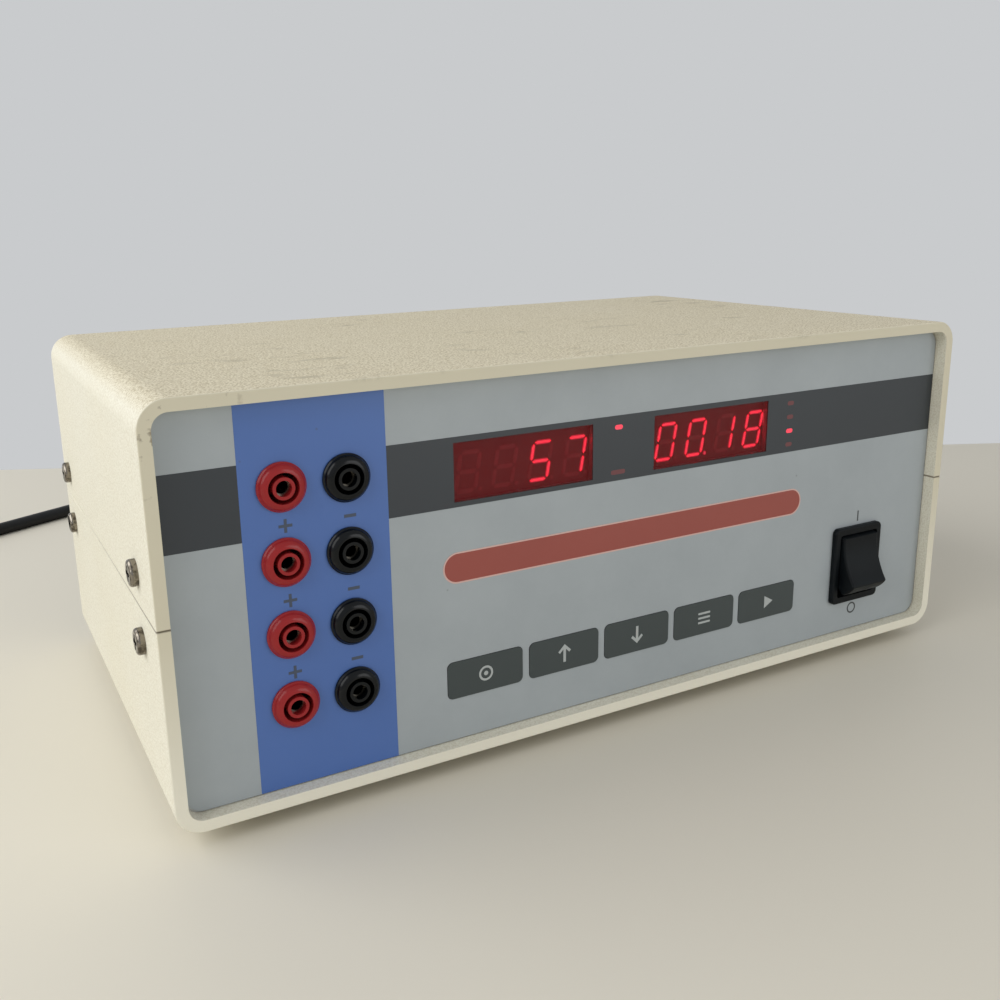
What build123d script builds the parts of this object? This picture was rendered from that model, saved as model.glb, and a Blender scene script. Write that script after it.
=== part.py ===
"""Electrophoresis power supply: a moulded two-part case with a recessed control panel.

Eight shrouded 4 mm output sockets, two four-digit displays, five membrane keys and a rocker
switch stand on the front panel. The rear panel has a mains inlet with a fuse drawer, and the
mains cord lies on the bench behind the case. Millimetres, X to the right, Y to the back, Z up.
"""

import math
import os

from build123d import *

os.makedirs("parts", exist_ok=True)

# Case: two moulded halves that meet at mid height
CASE_WIDTH = 300.0
CASE_DEPTH = 170.0
CASE_HEIGHT = 121.0
WALL = 3.7
CORNER_RADIUS = 8.2
RIM_EDGE = 0.5
SEAM_CHAMFER = 0.3
TONGUE_THICKNESS = 1.5
TONGUE_HEIGHT = 2.0
TONGUE_CLEARANCE = 0.1
TONGUE_END = 10.0
FLOOR_RIB_HEIGHT = 4.0
FLOOR_RIB_THICKNESS = 2.0
FLOOR_RIB_COUNT = 4

# Feet and their screws
FOOT_HEIGHT = 5.0
FOOT_RADIUS = 8.0
FOOT_TAPER = 1.0
FOOT_INSET_X = 32.0
FOOT_INSET_Y = 30.0
FOOT_SCREW_RADIUS = 1.5
FOOT_SCREW_HEAD_RADIUS = 2.8
FOOT_SCREW_HEAD = 1.8
FOOT_SCREW_LENGTH = 10.0
FOOT_BOSS_RADIUS = 4.5
FOOT_BOSS_HEIGHT = 7.0
FOOT_BOSS_END = 1.0

# Panels stand in grooves of both halves
PANEL_RECESS = 4.5
PANEL_THICKNESS = 2.0
GROOVE_DEPTH = 1.5
PANEL_EDGE_GAP = 0.2
OVERLAY_THICKNESS = 0.5
OVERLAY_GAP = 0.3
OVERLAY_CORNER = 5.2

# Tie plates and side screws hold the halves together
TIE_PLATE_WIDTH = 12.0
TIE_PLATE_HEIGHT = 34.0
TIE_PLATE_THICKNESS = 2.0
SIDE_SCREW_FRONT = 21.5
SIDE_SCREW_REAR = 16.0
SIDE_SCREW_OFFSET = 10.0
SIDE_SCREW_RADIUS = 2.0
SIDE_SCREW_HEAD_RADIUS = 3.9
SIDE_SCREW_HEAD = 2.3
SIDE_SCREW_HEAD_EDGE = 1.0
SCREW_CLEARANCE = 0.1
RECESS_LENGTH = 4.6
RECESS_WIDTH = 1.2
RECESS_DEPTH = 1.5

# Shrouded 4 mm sockets, measured from the case's left side and top
SOCKET_RED_X = 36.8
SOCKET_BLACK_X = 55.5
SOCKET_FROM_TOP = 27.9
SOCKET_PITCH = 21.3
SOCKET_ROWS = 4
SOCKET_FLANGE_RADIUS = 7.0
SOCKET_FLANGE = 2.7
SOCKET_FLANGE_SIDE = 1.1
SOCKET_FLANGE_EDGE = 0.35
SOCKET_BARREL_RADIUS = 6.0
SOCKET_BARREL_LENGTH = 14.0
SOCKET_SLOT_OUTER = 4.4
SOCKET_SLOT_INNER = 3.15
SOCKET_SLOT_DEPTH = 15.0
SOCKET_MOUTH_RADIUS = 2.25
SOCKET_TAIL_RADIUS = 4.0
SOCKET_TAIL_LENGTH = 9.0
SOCKET_HOLE_CLEARANCE = 0.1
CONTACT_BORE_RADIUS = 2.0
CONTACT_RADIUS = 2.6
CONTACT_SETBACK = 3.0
CONTACT_LENGTH = 20.0
CONTACT_TAB_LENGTH = 7.0
CONTACT_CLEARANCE = 0.05
NUT_ACROSS_FLATS = 15.0
NUT_THICKNESS = 3.0

# Two display windows between margins of the case's width, with the modules behind them
WINDOW_HEIGHT = 18.2
WINDOW_LEFT = 88.9
WINDOW_RIGHT = 88.0
WINDOW_SPACING = 23.9
WINDOW_FROM_TOP = 22.2
FILTER_THICKNESS = 2.0
FILTER_SETBACK = 0.2
FILTER_GAP = 0.1
MODULE_MARGIN = 0.4
MODULE_DEPTH = 8.0
MODULE_GAP = 0.3

# Membrane keys between two margins: pads that show in the overlay and press a switch on the board
KEY_COUNT = 5
KEY_HEIGHT = 12.4
KEY_SPACING = 2.3
KEY_ROW_LEFT = 85.0
KEY_ROW_RIGHT = 70.8
KEY_Z = 17.7
KEY_CORNER = 2.0
KEY_PROUD = 0.2
KEY_GAP = 0.12
KEY_LIP = 0.8
KEY_LIP_THICKNESS = 0.8
KEY_STEM_RADIUS = 1.7
KEY_STOP_GAP = 0.5
SWITCH_SIZE = 6.0
SWITCH_BODY = 3.5
SWITCH_PLUNGER = 1.2

# Display board on studs of the front panel
BOARD_THICKNESS = 1.6
BOARD_MARGIN = 8.0
STUD_RADIUS = 2.6
STUD_PIN_RADIUS = 1.5
STUD_PIN_LENGTH = 4.5
BOARD_NUT_RADIUS = 3.2
BOARD_NUT_THICKNESS = 2.4

# Rocker switch, measured from the case's right side
ROCKER_FROM_RIGHT = 40.1
ROCKER_Z = 31.1
BEZEL_WIDTH = 24.0
BEZEL_HEIGHT = 30.0
BEZEL_THICKNESS = 2.0
BEZEL_CORNER = 2.0
ROCKER_BODY_WIDTH = 21.8
ROCKER_BODY_HEIGHT = 27.4
ROCKER_BODY_DEPTH = 18.0
ROCKER_CUTOUT_GAP = 0.15
ROCKER_MOUTH_WIDTH = 19.2
ROCKER_MOUTH_CORNER = 1.0
ROCKER_BACK_WALL = 2.0
PADDLE_WIDTH = 17.8
PADDLE_RADIUS = 12.1
PADDLE_GAP = 0.3
PADDLE_HALF_ANGLE = 49.2
PADDLE_TILT = 18.5
PADDLE_END_ANGLE = 82.0
PADDLE_SAGITTA = 1.4
PADDLE_EDGE = 0.8
PIVOT_BEHIND_PANEL = 1.5
PIVOT_HUB_RADIUS = 3.2
PIVOT_PIN_RADIUS = 1.5
PIVOT_PIN_GRIP = 1.1
PIVOT_CLEARANCE = 0.05
BLADE_WIDTH = 6.3
BLADE_THICKNESS = 0.8
BLADE_LENGTH = 8.0
BLADE_SPACING = 11.0

# Mains inlet with its fuse drawer in the rear panel, measured from the case's right side
INLET_FROM_RIGHT = 48.0
INLET_Z = 46.0
INLET_FLANGE_WIDTH = 32.0
INLET_FLANGE_TOP = 12.5
INLET_FLANGE_BOTTOM = 23.0
INLET_FLANGE = 2.5
INLET_WALL = 1.6
INLET_DEPTH = 26.0
CAVITY_WIDTH = 24.6
CAVITY_HEIGHT = 16.6
CAVITY_CHAMFER = 4.0
CAVITY_DEPTH = 18.5
INLET_PIN_WIDTH = 4.0
INLET_PIN_THICKNESS = 2.0
INLET_PIN_LENGTH = 15.0
INLET_PIN_EDGE = 0.4
INLET_PIN_PITCH = 7.0
INLET_PIN_DROP = 2.0
EARTH_PIN_RISE = 3.0
INLET_CUTOUT_GAP = 0.15
DRAWER_DROP = 16.5
DRAWER_WIDTH = 19.6
DRAWER_HEIGHT = 7.0
DRAWER_GAP = 0.3
DRAWER_DEPTH = 22.0
DRAWER_PROUD = 0.8
FUSE_RADIUS = 2.5
FUSE_LENGTH = 16.0
FUSE_SETBACK = 3.0

# Vent slots in the rear panel and the floor
VENT_WIDTH = 3.0
VENT_LENGTH = 34.0
VENT_PITCH = 7.0
VENT_COUNT = 9
REAR_VENT_X = 96.0
REAR_VENT_Z = 62.0
FLOOR_VENT_Y = 85.0

# Power board and transformer on the floor
MAIN_BOARD_WIDTH = 150.0
MAIN_BOARD_DEPTH = 96.0
MAIN_BOARD_X = 100.0
MAIN_BOARD_Y = 92.0
BOARD_BOSS_RADIUS = 3.5
BOARD_BOSS_HEIGHT = 8.0
BOARD_BOSS_INSET = 6.0
CORE_WIDTH = 66.0
CORE_DEPTH = 44.0
CORE_HEIGHT = 55.0
CORE_X = 226.0
CORE_Y = 76.0
CORE_LIMB = 11.0
WINDING_BULGE = 11.0
WINDING_GAP = 0.3
SINK_WIDTH = 90.0
SINK_HEIGHT = 48.0
SINK_BASE = 4.0
SINK_FIN = 16.0
SINK_FIN_THICKNESS = 2.0
SINK_FIN_COUNT = 8
CAPACITOR_RADIUS = 12.5
CAPACITOR_HEIGHT = 38.0
CAPACITOR_SPACING = 32.0

# Mains connector, cord and plug
CORD_DIAMETER = 6.5
CONNECTOR_WIDTH = 30.0
CONNECTOR_HEIGHT = 21.0
CONNECTOR_LENGTH = 34.0
CONNECTOR_CORNER = 4.2
CONNECTOR_GAP = 0.4
CONNECTOR_SEAT_GAP = 0.3
NOSE_LENGTH = 17.0
PIN_SLOT_GAP = 0.3
RELIEF_LENGTH = 28.0
RELIEF_ROOT_RADIUS = 7.0
RELIEF_ROOT_FLAT = 1.0
RELIEF_TIP_RADIUS = 4.6
PLUG_RADIUS = 19.0
PLUG_LENGTH = 40.0
PLUG_NECK_RADIUS = 9.0
PLUG_PIN_RADIUS = 2.4
PLUG_PIN_LENGTH = 19.0
PLUG_PIN_PITCH = 19.0
COIL_RADIUS = 45.0
COIL_TURNS = 2.75
COIL_TURN_PITCH = 7.1
COIL_LAYER_PITCH = 7.0
COIL_ENTRY_ANGLE = -68.5
COIL_CLIMB = 1.5
LEAD_STRAIGHT = 32.0
TAIL_STRAIGHT = 28.0
CORNER_SHARE = 0.45
SAMPLE_STEP = 3.0
TIE_THICKNESS = 1.0
TIE_WIDTH = 6.0
TIE_GAP = 0.3

# Reference planes of the case, with the origin under the middle of everything but the cord
LEFT = -CASE_WIDTH / 2
BASE = FOOT_HEIGHT
SEAM = BASE + CASE_HEIGHT / 2
TOP = BASE + CASE_HEIGHT
PADDLE_NOSE = PADDLE_RADIUS * math.cos(math.radians(PADDLE_HALF_ANGLE - PADDLE_TILT))
NOSE_AHEAD = PADDLE_NOSE - PIVOT_BEHIND_PANEL - PANEL_RECESS
FRONT = (NOSE_AHEAD - CASE_DEPTH) / 2
REAR = FRONT + CASE_DEPTH
FACE = FRONT + PANEL_RECESS
PANEL_FRONT = FACE + OVERLAY_THICKNESS
PANEL_BACK = PANEL_FRONT + PANEL_THICKNESS
REAR_FACE = REAR - PANEL_RECESS
INNER_WIDTH = CASE_WIDTH - 2 * WALL
INNER_HEIGHT = CASE_HEIGHT - 2 * WALL
INNER_RADIUS = CORNER_RADIUS - WALL
FLOOR = BASE + WALL
RIGHT = CASE_WIDTH / 2


def facing(y):
    """A plane at depth y that looks out of the front, with its own Y upwards."""
    return Plane.XZ.offset(-y)


def looking_back(y):
    """A plane at depth y that looks out of the rear, with its own X to the left."""
    return Plane(origin=(0, y, 0), x_dir=(-1, 0, 0), z_dir=(0, 1, 0))


def outer_seam_edges(half):
    """The edges of a half that show as the seam: those on the sides, the front and the rear."""
    on_seam = half.edges().filter_by_position(Axis.Z, SEAM, SEAM)
    outermost = CASE_WIDTH / 2 - WALL / 2
    return on_seam.filter_by(lambda e: abs(e.center().X) > outermost and e.center().Y > FRONT
                             or abs(e.center().Y - FRONT) < SEAM_CHAMFER
                             or abs(e.center().Y - REAR) < SEAM_CHAMFER)


def write(builder, name):
    """Label a finished piece and write it under its own name."""
    builder.part.label = name
    export_step(builder.part, f"parts/{name}.step")


# Places of repeated features
foot_spots = [
    (side * (CASE_WIDTH / 2 - FOOT_INSET_X), y)
    for y in (FRONT + FOOT_INSET_Y, REAR - FOOT_INSET_Y)
    for side in (-1, 1)
]
screw_depths = (FRONT + SIDE_SCREW_FRONT, REAR - SIDE_SCREW_REAR)
screw_heights = (SEAM + SIDE_SCREW_OFFSET, SEAM - SIDE_SCREW_OFFSET)
socket_columns = {"red": LEFT + SOCKET_RED_X, "black": LEFT + SOCKET_BLACK_X}
socket_heights = [TOP - SOCKET_FROM_TOP - row * SOCKET_PITCH for row in range(SOCKET_ROWS)]
window_width = (CASE_WIDTH - WINDOW_LEFT - WINDOW_RIGHT - WINDOW_SPACING) / 2
window_z = TOP - WINDOW_FROM_TOP - WINDOW_HEIGHT / 2
window_xs = [LEFT + WINDOW_LEFT + window_width / 2, RIGHT - WINDOW_RIGHT - window_width / 2]
module_width = window_width + 2 * MODULE_MARGIN
module_height = WINDOW_HEIGHT + 2 * MODULE_MARGIN
key_row = CASE_WIDTH - KEY_ROW_LEFT - KEY_ROW_RIGHT
key_width = (key_row - (KEY_COUNT - 1) * KEY_SPACING) / KEY_COUNT
key_z = BASE + KEY_Z + KEY_HEIGHT / 2
key_xs = [LEFT + KEY_ROW_LEFT + key_width / 2 + n * (key_width + KEY_SPACING) for n in range(KEY_COUNT)]
rocker_x = RIGHT - ROCKER_FROM_RIGHT
rocker_z = BASE + ROCKER_Z
inlet_x = RIGHT - INLET_FROM_RIGHT
inlet_z = BASE + INLET_Z
drawer_z = inlet_z - DRAWER_DROP
board_boss_spots = [
    (LEFT + MAIN_BOARD_X + i * (MAIN_BOARD_WIDTH / 2 - BOARD_BOSS_INSET),
     FRONT + MAIN_BOARD_Y + j * (MAIN_BOARD_DEPTH / 2 - BOARD_BOSS_INSET))
    for i in (-1, 1)
    for j in (-1, 1)
]

# Lower half: floor, lower side walls, panel grooves, seam tongue, ribs and bosses
seam_plane = Plane.XY.offset(SEAM)
groove_starts = (PANEL_FRONT, REAR_FACE - PANEL_THICKNESS)
tongue_length = CASE_DEPTH - 2 * TONGUE_END
tongue_x = INNER_WIDTH / 2 + TONGUE_THICKNESS / 2
with BuildPart() as lower_shell:
    with BuildSketch(facing(FRONT)):
        with Locations((0, SEAM)):
            RectangleRounded(CASE_WIDTH, CASE_HEIGHT, CORNER_RADIUS)
            RectangleRounded(INNER_WIDTH, INNER_HEIGHT, INNER_RADIUS, mode=Mode.SUBTRACT)
    extrude(amount=-CASE_DEPTH)
    for rim in (lower_shell.faces().sort_by(Axis.Y)[0], lower_shell.faces().sort_by(Axis.Y)[-1]):
        fillet(rim.outer_wire().edges(), radius=RIM_EDGE)
    split(bisect_by=seam_plane, keep=Keep.BOTTOM)
    chamfer(outer_seam_edges(lower_shell), length=SEAM_CHAMFER)
    with BuildSketch(seam_plane):
        with Locations((-tongue_x, (FRONT + REAR) / 2), (tongue_x, (FRONT + REAR) / 2)):
            Rectangle(TONGUE_THICKNESS, tongue_length)
    extrude(amount=TONGUE_HEIGHT)
    for start in groove_starts:
        with BuildSketch(facing(start)):
            with Locations((0, SEAM)):
                RectangleRounded(INNER_WIDTH + 2 * GROOVE_DEPTH, INNER_HEIGHT + 2 * GROOVE_DEPTH,
                                 INNER_RADIUS + GROOVE_DEPTH)
        extrude(amount=-PANEL_THICKNESS - PANEL_EDGE_GAP, mode=Mode.SUBTRACT)
    with BuildSketch(Plane.XY.offset(FLOOR)):
        with Locations((0, FRONT + CASE_DEPTH / 2)):
            with GridLocations(INNER_WIDTH / (FLOOR_RIB_COUNT + 1), 0, FLOOR_RIB_COUNT, 1):
                Rectangle(FLOOR_RIB_THICKNESS, CASE_DEPTH / 2)
    extrude(amount=FLOOR_RIB_HEIGHT)
    with BuildSketch(Plane.XY.offset(FLOOR)):
        with Locations(*foot_spots):
            Circle(FOOT_BOSS_RADIUS)
    extrude(amount=FOOT_BOSS_HEIGHT)
    with BuildSketch(Plane.XY.offset(FLOOR)):
        with Locations(*board_boss_spots):
            Circle(BOARD_BOSS_RADIUS)
    extrude(amount=BOARD_BOSS_HEIGHT)
    with BuildSketch(Plane.XY.offset(BASE)):
        with Locations(*foot_spots):
            Circle(FOOT_SCREW_RADIUS + SCREW_CLEARANCE / 2)
    extrude(amount=WALL + FOOT_BOSS_HEIGHT - FOOT_BOSS_END, mode=Mode.SUBTRACT)
    with BuildSketch(Plane.XY.offset(BASE)):
        with Locations((LEFT + MAIN_BOARD_X, FRONT + FLOOR_VENT_Y)):
            with GridLocations(VENT_PITCH, 0, VENT_COUNT, 1):
                SlotOverall(VENT_LENGTH, VENT_WIDTH, rotation=90)
    extrude(amount=WALL + FLOOR_RIB_HEIGHT, mode=Mode.SUBTRACT)
    for depth in screw_depths:
        with BuildSketch(Plane.YZ.offset(LEFT)):
            with Locations((depth, screw_heights[1])):
                Circle(SIDE_SCREW_RADIUS + SCREW_CLEARANCE / 2)
        extrude(amount=CASE_WIDTH, mode=Mode.SUBTRACT)
write(lower_shell, "lower_shell")

# Upper half: top, upper side walls, grooves and the rebate for the tongue
with BuildPart() as upper_shell:
    with BuildSketch(facing(FRONT)):
        with Locations((0, SEAM)):
            RectangleRounded(CASE_WIDTH, CASE_HEIGHT, CORNER_RADIUS)
            RectangleRounded(INNER_WIDTH, INNER_HEIGHT, INNER_RADIUS, mode=Mode.SUBTRACT)
    extrude(amount=-CASE_DEPTH)
    for rim in (upper_shell.faces().sort_by(Axis.Y)[0], upper_shell.faces().sort_by(Axis.Y)[-1]):
        fillet(rim.outer_wire().edges(), radius=RIM_EDGE)
    split(bisect_by=seam_plane, keep=Keep.TOP)
    chamfer(outer_seam_edges(upper_shell), length=SEAM_CHAMFER)
    with BuildSketch(seam_plane):
        with Locations((-tongue_x, (FRONT + REAR) / 2), (tongue_x, (FRONT + REAR) / 2)):
            Rectangle(TONGUE_THICKNESS + 2 * TONGUE_CLEARANCE, tongue_length + 2 * TONGUE_CLEARANCE)
    extrude(amount=TONGUE_HEIGHT + TONGUE_CLEARANCE, mode=Mode.SUBTRACT)
    for start in groove_starts:
        with BuildSketch(facing(start)):
            with Locations((0, SEAM)):
                RectangleRounded(INNER_WIDTH + 2 * GROOVE_DEPTH, INNER_HEIGHT + 2 * GROOVE_DEPTH,
                                 INNER_RADIUS + GROOVE_DEPTH)
        extrude(amount=-PANEL_THICKNESS - PANEL_EDGE_GAP, mode=Mode.SUBTRACT)
    with BuildSketch(Plane.XY.offset(BASE + CASE_HEIGHT - WALL)):
        with Locations((0, FRONT + CASE_DEPTH / 2)):
            with GridLocations(INNER_WIDTH / (FLOOR_RIB_COUNT + 1), 0, FLOOR_RIB_COUNT, 1):
                Rectangle(FLOOR_RIB_THICKNESS, CASE_DEPTH / 2)
    extrude(amount=-FLOOR_RIB_HEIGHT)
    for depth in screw_depths:
        with BuildSketch(Plane.YZ.offset(LEFT)):
            with Locations((depth, screw_heights[0])):
                Circle(SIDE_SCREW_RADIUS + SCREW_CLEARANCE / 2)
        extrude(amount=CASE_WIDTH, mode=Mode.SUBTRACT)
write(upper_shell, "upper_shell")

# Four rubber feet with a recessed screw each
for name, spot in zip(("front_left", "front_right", "rear_left", "rear_right"), foot_spots):
    with BuildPart() as foot:
        with BuildSketch(Plane.XY.offset(BASE)):
            with Locations(spot):
                Circle(FOOT_RADIUS)
        with BuildSketch(Plane.XY):
            with Locations(spot):
                Circle(FOOT_RADIUS - FOOT_TAPER)
        loft()
        with BuildSketch(Plane.XY):
            with Locations(spot):
                Circle(FOOT_SCREW_RADIUS + SCREW_CLEARANCE)
        extrude(amount=BASE, mode=Mode.SUBTRACT)
        with BuildSketch(Plane.XY):
            with Locations(spot):
                Circle(FOOT_SCREW_HEAD_RADIUS + 2 * SCREW_CLEARANCE)
        extrude(amount=BASE / 2, mode=Mode.SUBTRACT)
    write(foot, f"foot_{name}")

with BuildPart() as foot_screws:
    with BuildSketch(Plane.XY.offset(BASE / 2)):
        with Locations(*foot_spots):
            Circle(FOOT_SCREW_RADIUS)
    extrude(amount=FOOT_SCREW_LENGTH)
    with BuildSketch(Plane.XY.offset(BASE / 2)):
        with Locations(*foot_spots):
            Circle(FOOT_SCREW_HEAD_RADIUS)
    extrude(amount=-FOOT_SCREW_HEAD)
write(foot_screws, "foot_screws")

# Steel tie plates across the seam, and the screws that pull both halves onto them
for side_name, side in (("left", -1), ("right", 1)):
    with BuildPart() as tie_plates:
        with BuildSketch(Plane.YZ.offset(side * INNER_WIDTH / 2)):
            with Locations(*[(depth, SEAM) for depth in screw_depths]):
                RectangleRounded(TIE_PLATE_WIDTH, TIE_PLATE_HEIGHT, TIE_PLATE_THICKNESS)
            with Locations(*[(depth, z) for depth in screw_depths for z in screw_heights]):
                Circle(SIDE_SCREW_RADIUS + SCREW_CLEARANCE / 2, mode=Mode.SUBTRACT)
        extrude(amount=-side * TIE_PLATE_THICKNESS)
    write(tie_plates, f"tie_plates_{side_name}")

for side_name, side in (("left", -1), ("right", 1)):
    outside = side * CASE_WIDTH / 2
    spots = [(depth, z) for depth in screw_depths for z in screw_heights]
    with BuildPart() as side_screws:
        with BuildSketch(Plane.YZ.offset(outside)):
            with Locations(*spots):
                Circle(SIDE_SCREW_RADIUS)
        extrude(amount=-side * (WALL + 2 * TIE_PLATE_THICKNESS))
        with BuildSketch(Plane.YZ.offset(outside)):
            with Locations(*spots):
                Circle(SIDE_SCREW_HEAD_RADIUS)
        extrude(amount=side * SIDE_SCREW_HEAD)
        rims = side_screws.edges().filter_by(GeomType.CIRCLE).group_by(Axis.X)[0 if side < 0 else -1]
        fillet(rims, radius=SIDE_SCREW_HEAD_EDGE)
        with BuildSketch(Plane.YZ.offset(outside + side * SIDE_SCREW_HEAD)):
            with Locations(*spots):
                Rectangle(RECESS_LENGTH, RECESS_WIDTH)
                Rectangle(RECESS_WIDTH, RECESS_LENGTH)
        extrude(amount=-side * RECESS_DEPTH, mode=Mode.SUBTRACT)
    write(side_screws, f"side_screws_{side_name}")

# Front panel of aluminium and the printed overlay on it
edge = 2 * (GROOVE_DEPTH - PANEL_EDGE_GAP)
board_left = window_xs[0] - module_width / 2 - BOARD_MARGIN
board_right = window_xs[1] + module_width / 2 + BOARD_MARGIN
board_bottom = key_z - KEY_HEIGHT / 2 - KEY_LIP
board_top = window_z + module_height / 2 + BOARD_MARGIN / 2
board_front = PANEL_BACK + MODULE_GAP + MODULE_DEPTH
stud_inset = BOARD_MARGIN / 2
stud_spots = [
    (x, z)
    for x in (board_left + stud_inset, (window_xs[0] + window_xs[1]) / 2, board_right - stud_inset)
    for z in (key_z + KEY_HEIGHT, window_z)
]
with BuildPart() as front_panel:
    with BuildSketch(facing(PANEL_FRONT)):
        with Locations((0, SEAM)):
            RectangleRounded(INNER_WIDTH + edge, INNER_HEIGHT + edge, INNER_RADIUS + edge / 2)
        with Locations(*[(x, z) for x in socket_columns.values() for z in socket_heights]):
            Circle(SOCKET_BARREL_RADIUS + SOCKET_HOLE_CLEARANCE, mode=Mode.SUBTRACT)
        with Locations(*[(x, window_z) for x in window_xs]):
            Rectangle(window_width, WINDOW_HEIGHT, mode=Mode.SUBTRACT)
        with Locations(*[(x, key_z) for x in key_xs]):
            Rectangle(key_width, KEY_HEIGHT + 2 * (KEY_LIP + KEY_GAP), mode=Mode.SUBTRACT)
        with Locations((rocker_x, rocker_z)):
            Rectangle(ROCKER_BODY_WIDTH + 2 * ROCKER_CUTOUT_GAP,
                      ROCKER_BODY_HEIGHT + 2 * ROCKER_CUTOUT_GAP, mode=Mode.SUBTRACT)
    extrude(amount=-PANEL_THICKNESS)
write(front_panel, "front_panel")

with BuildPart() as panel_overlay:
    with BuildSketch(facing(FACE)):
        with Locations((0, SEAM)):
            RectangleRounded(INNER_WIDTH - 2 * OVERLAY_GAP, INNER_HEIGHT - 2 * OVERLAY_GAP, OVERLAY_CORNER)
        with Locations(*[(x, z) for x in socket_columns.values() for z in socket_heights]):
            Circle(SOCKET_BARREL_RADIUS + SOCKET_HOLE_CLEARANCE, mode=Mode.SUBTRACT)
        with Locations(*[(x, window_z) for x in window_xs]):
            Rectangle(window_width, WINDOW_HEIGHT, mode=Mode.SUBTRACT)
        with Locations(*[(x, key_z) for x in key_xs]):
            RectangleRounded(key_width, KEY_HEIGHT, KEY_CORNER, mode=Mode.SUBTRACT)
        with Locations((rocker_x, rocker_z)):
            Rectangle(ROCKER_BODY_WIDTH + 2 * ROCKER_CUTOUT_GAP,
                      ROCKER_BODY_HEIGHT + 2 * ROCKER_CUTOUT_GAP, mode=Mode.SUBTRACT)
    extrude(amount=-OVERLAY_THICKNESS)
write(panel_overlay, "panel_overlay")

# Shrouded sockets: flanged insulator, contact tube inside it and a nut behind the panel
slot_floor = FACE - SOCKET_FLANGE + SOCKET_SLOT_DEPTH
barrel_end = FACE + SOCKET_BARREL_LENGTH
tail_end = barrel_end + SOCKET_TAIL_LENGTH
contact_front = FACE - SOCKET_FLANGE + CONTACT_SETBACK
contact_seat = CONTACT_RADIUS + CONTACT_CLEARANCE
for colour, x in socket_columns.items():
    for row, z in enumerate(socket_heights, start=1):
        with BuildPart() as socket_body:
            with BuildSketch(Plane.XY.offset(z)):
                with BuildLine():
                    lip = (x + SOCKET_SLOT_OUTER, FACE - SOCKET_FLANGE)
                    dome_end = (x + SOCKET_FLANGE_RADIUS - SOCKET_FLANGE_EDGE, FACE - SOCKET_FLANGE_SIDE)
                    side_edge = (x + SOCKET_FLANGE_RADIUS, FACE - SOCKET_FLANGE_SIDE + SOCKET_FLANGE_EDGE)
                    TangentArc(lip, dome_end, tangent=(1, 0))
                    Polyline(dome_end, side_edge, (x + SOCKET_FLANGE_RADIUS, FACE), (x, FACE),
                             (x, FACE - SOCKET_FLANGE), lip)
                make_face()
            revolve(axis=Axis((x, FACE, z), (0, 1, 0)))
            with BuildSketch(facing(FACE)):
                with Locations((x, z)):
                    Circle(SOCKET_BARREL_RADIUS)
            extrude(amount=-SOCKET_BARREL_LENGTH)
            with BuildSketch(facing(barrel_end)):
                with Locations((x, z)):
                    Circle(SOCKET_TAIL_RADIUS)
            extrude(amount=-SOCKET_TAIL_LENGTH)
            with BuildSketch(facing(FACE - SOCKET_FLANGE)):
                with Locations((x, z)):
                    Circle(SOCKET_SLOT_OUTER)
                    Circle(SOCKET_SLOT_INNER, mode=Mode.SUBTRACT)
            extrude(amount=-SOCKET_SLOT_DEPTH, mode=Mode.SUBTRACT)
            with BuildSketch(facing(FACE - SOCKET_FLANGE)):
                with Locations((x, z)):
                    Circle(SOCKET_MOUTH_RADIUS)
            extrude(amount=-CONTACT_SETBACK, mode=Mode.SUBTRACT)
            with BuildSketch(facing(contact_front)):
                with Locations((x, z)):
                    Circle(contact_seat)
            extrude(amount=contact_front - tail_end, mode=Mode.SUBTRACT)
        write(socket_body, f"socket_{colour}_{row}")
        with BuildPart() as contact:
            with BuildSketch(facing(contact_front + CONTACT_CLEARANCE)):
                with Locations((x, z)):
                    Circle(CONTACT_RADIUS)
            extrude(amount=contact_front - tail_end)
            with BuildSketch(facing(tail_end)):
                with Locations((x, z)):
                    Rectangle(2 * CONTACT_BORE_RADIUS, CONTACT_RADIUS / 2)
            extrude(amount=-CONTACT_TAB_LENGTH)
            with BuildSketch(facing(contact_front)):
                with Locations((x, z)):
                    Circle(CONTACT_BORE_RADIUS)
            extrude(amount=-CONTACT_LENGTH, mode=Mode.SUBTRACT)
        write(contact, f"contact_{colour}_{row}")

for colour, x in socket_columns.items():
    with BuildPart() as socket_nuts:
        with BuildSketch(facing(PANEL_BACK)):
            with Locations(*[(x, z) for z in socket_heights]):
                RegularPolygon(NUT_ACROSS_FLATS / 2, 6, major_radius=False)
                Circle(SOCKET_BARREL_RADIUS + SOCKET_HOLE_CLEARANCE, mode=Mode.SUBTRACT)
        extrude(amount=-NUT_THICKNESS)
    write(socket_nuts, f"socket_nuts_{colour}")

# Display filters in their windows and the four-digit modules behind them
for side_name, x in zip(("left", "right"), window_xs):
    with BuildPart() as display_filter:
        with BuildSketch(facing(FACE + FILTER_SETBACK)):
            with Locations((x, window_z)):
                Rectangle(window_width - 2 * FILTER_GAP, WINDOW_HEIGHT - 2 * FILTER_GAP)
        extrude(amount=-FILTER_THICKNESS)
    write(display_filter, f"display_filter_{side_name}")
    with BuildPart() as display_module:
        with BuildSketch(facing(PANEL_BACK + MODULE_GAP)):
            with Locations((x, window_z)):
                Rectangle(module_width, module_height)
        extrude(amount=-MODULE_DEPTH)
    write(display_module, f"display_module_{side_name}")

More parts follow.
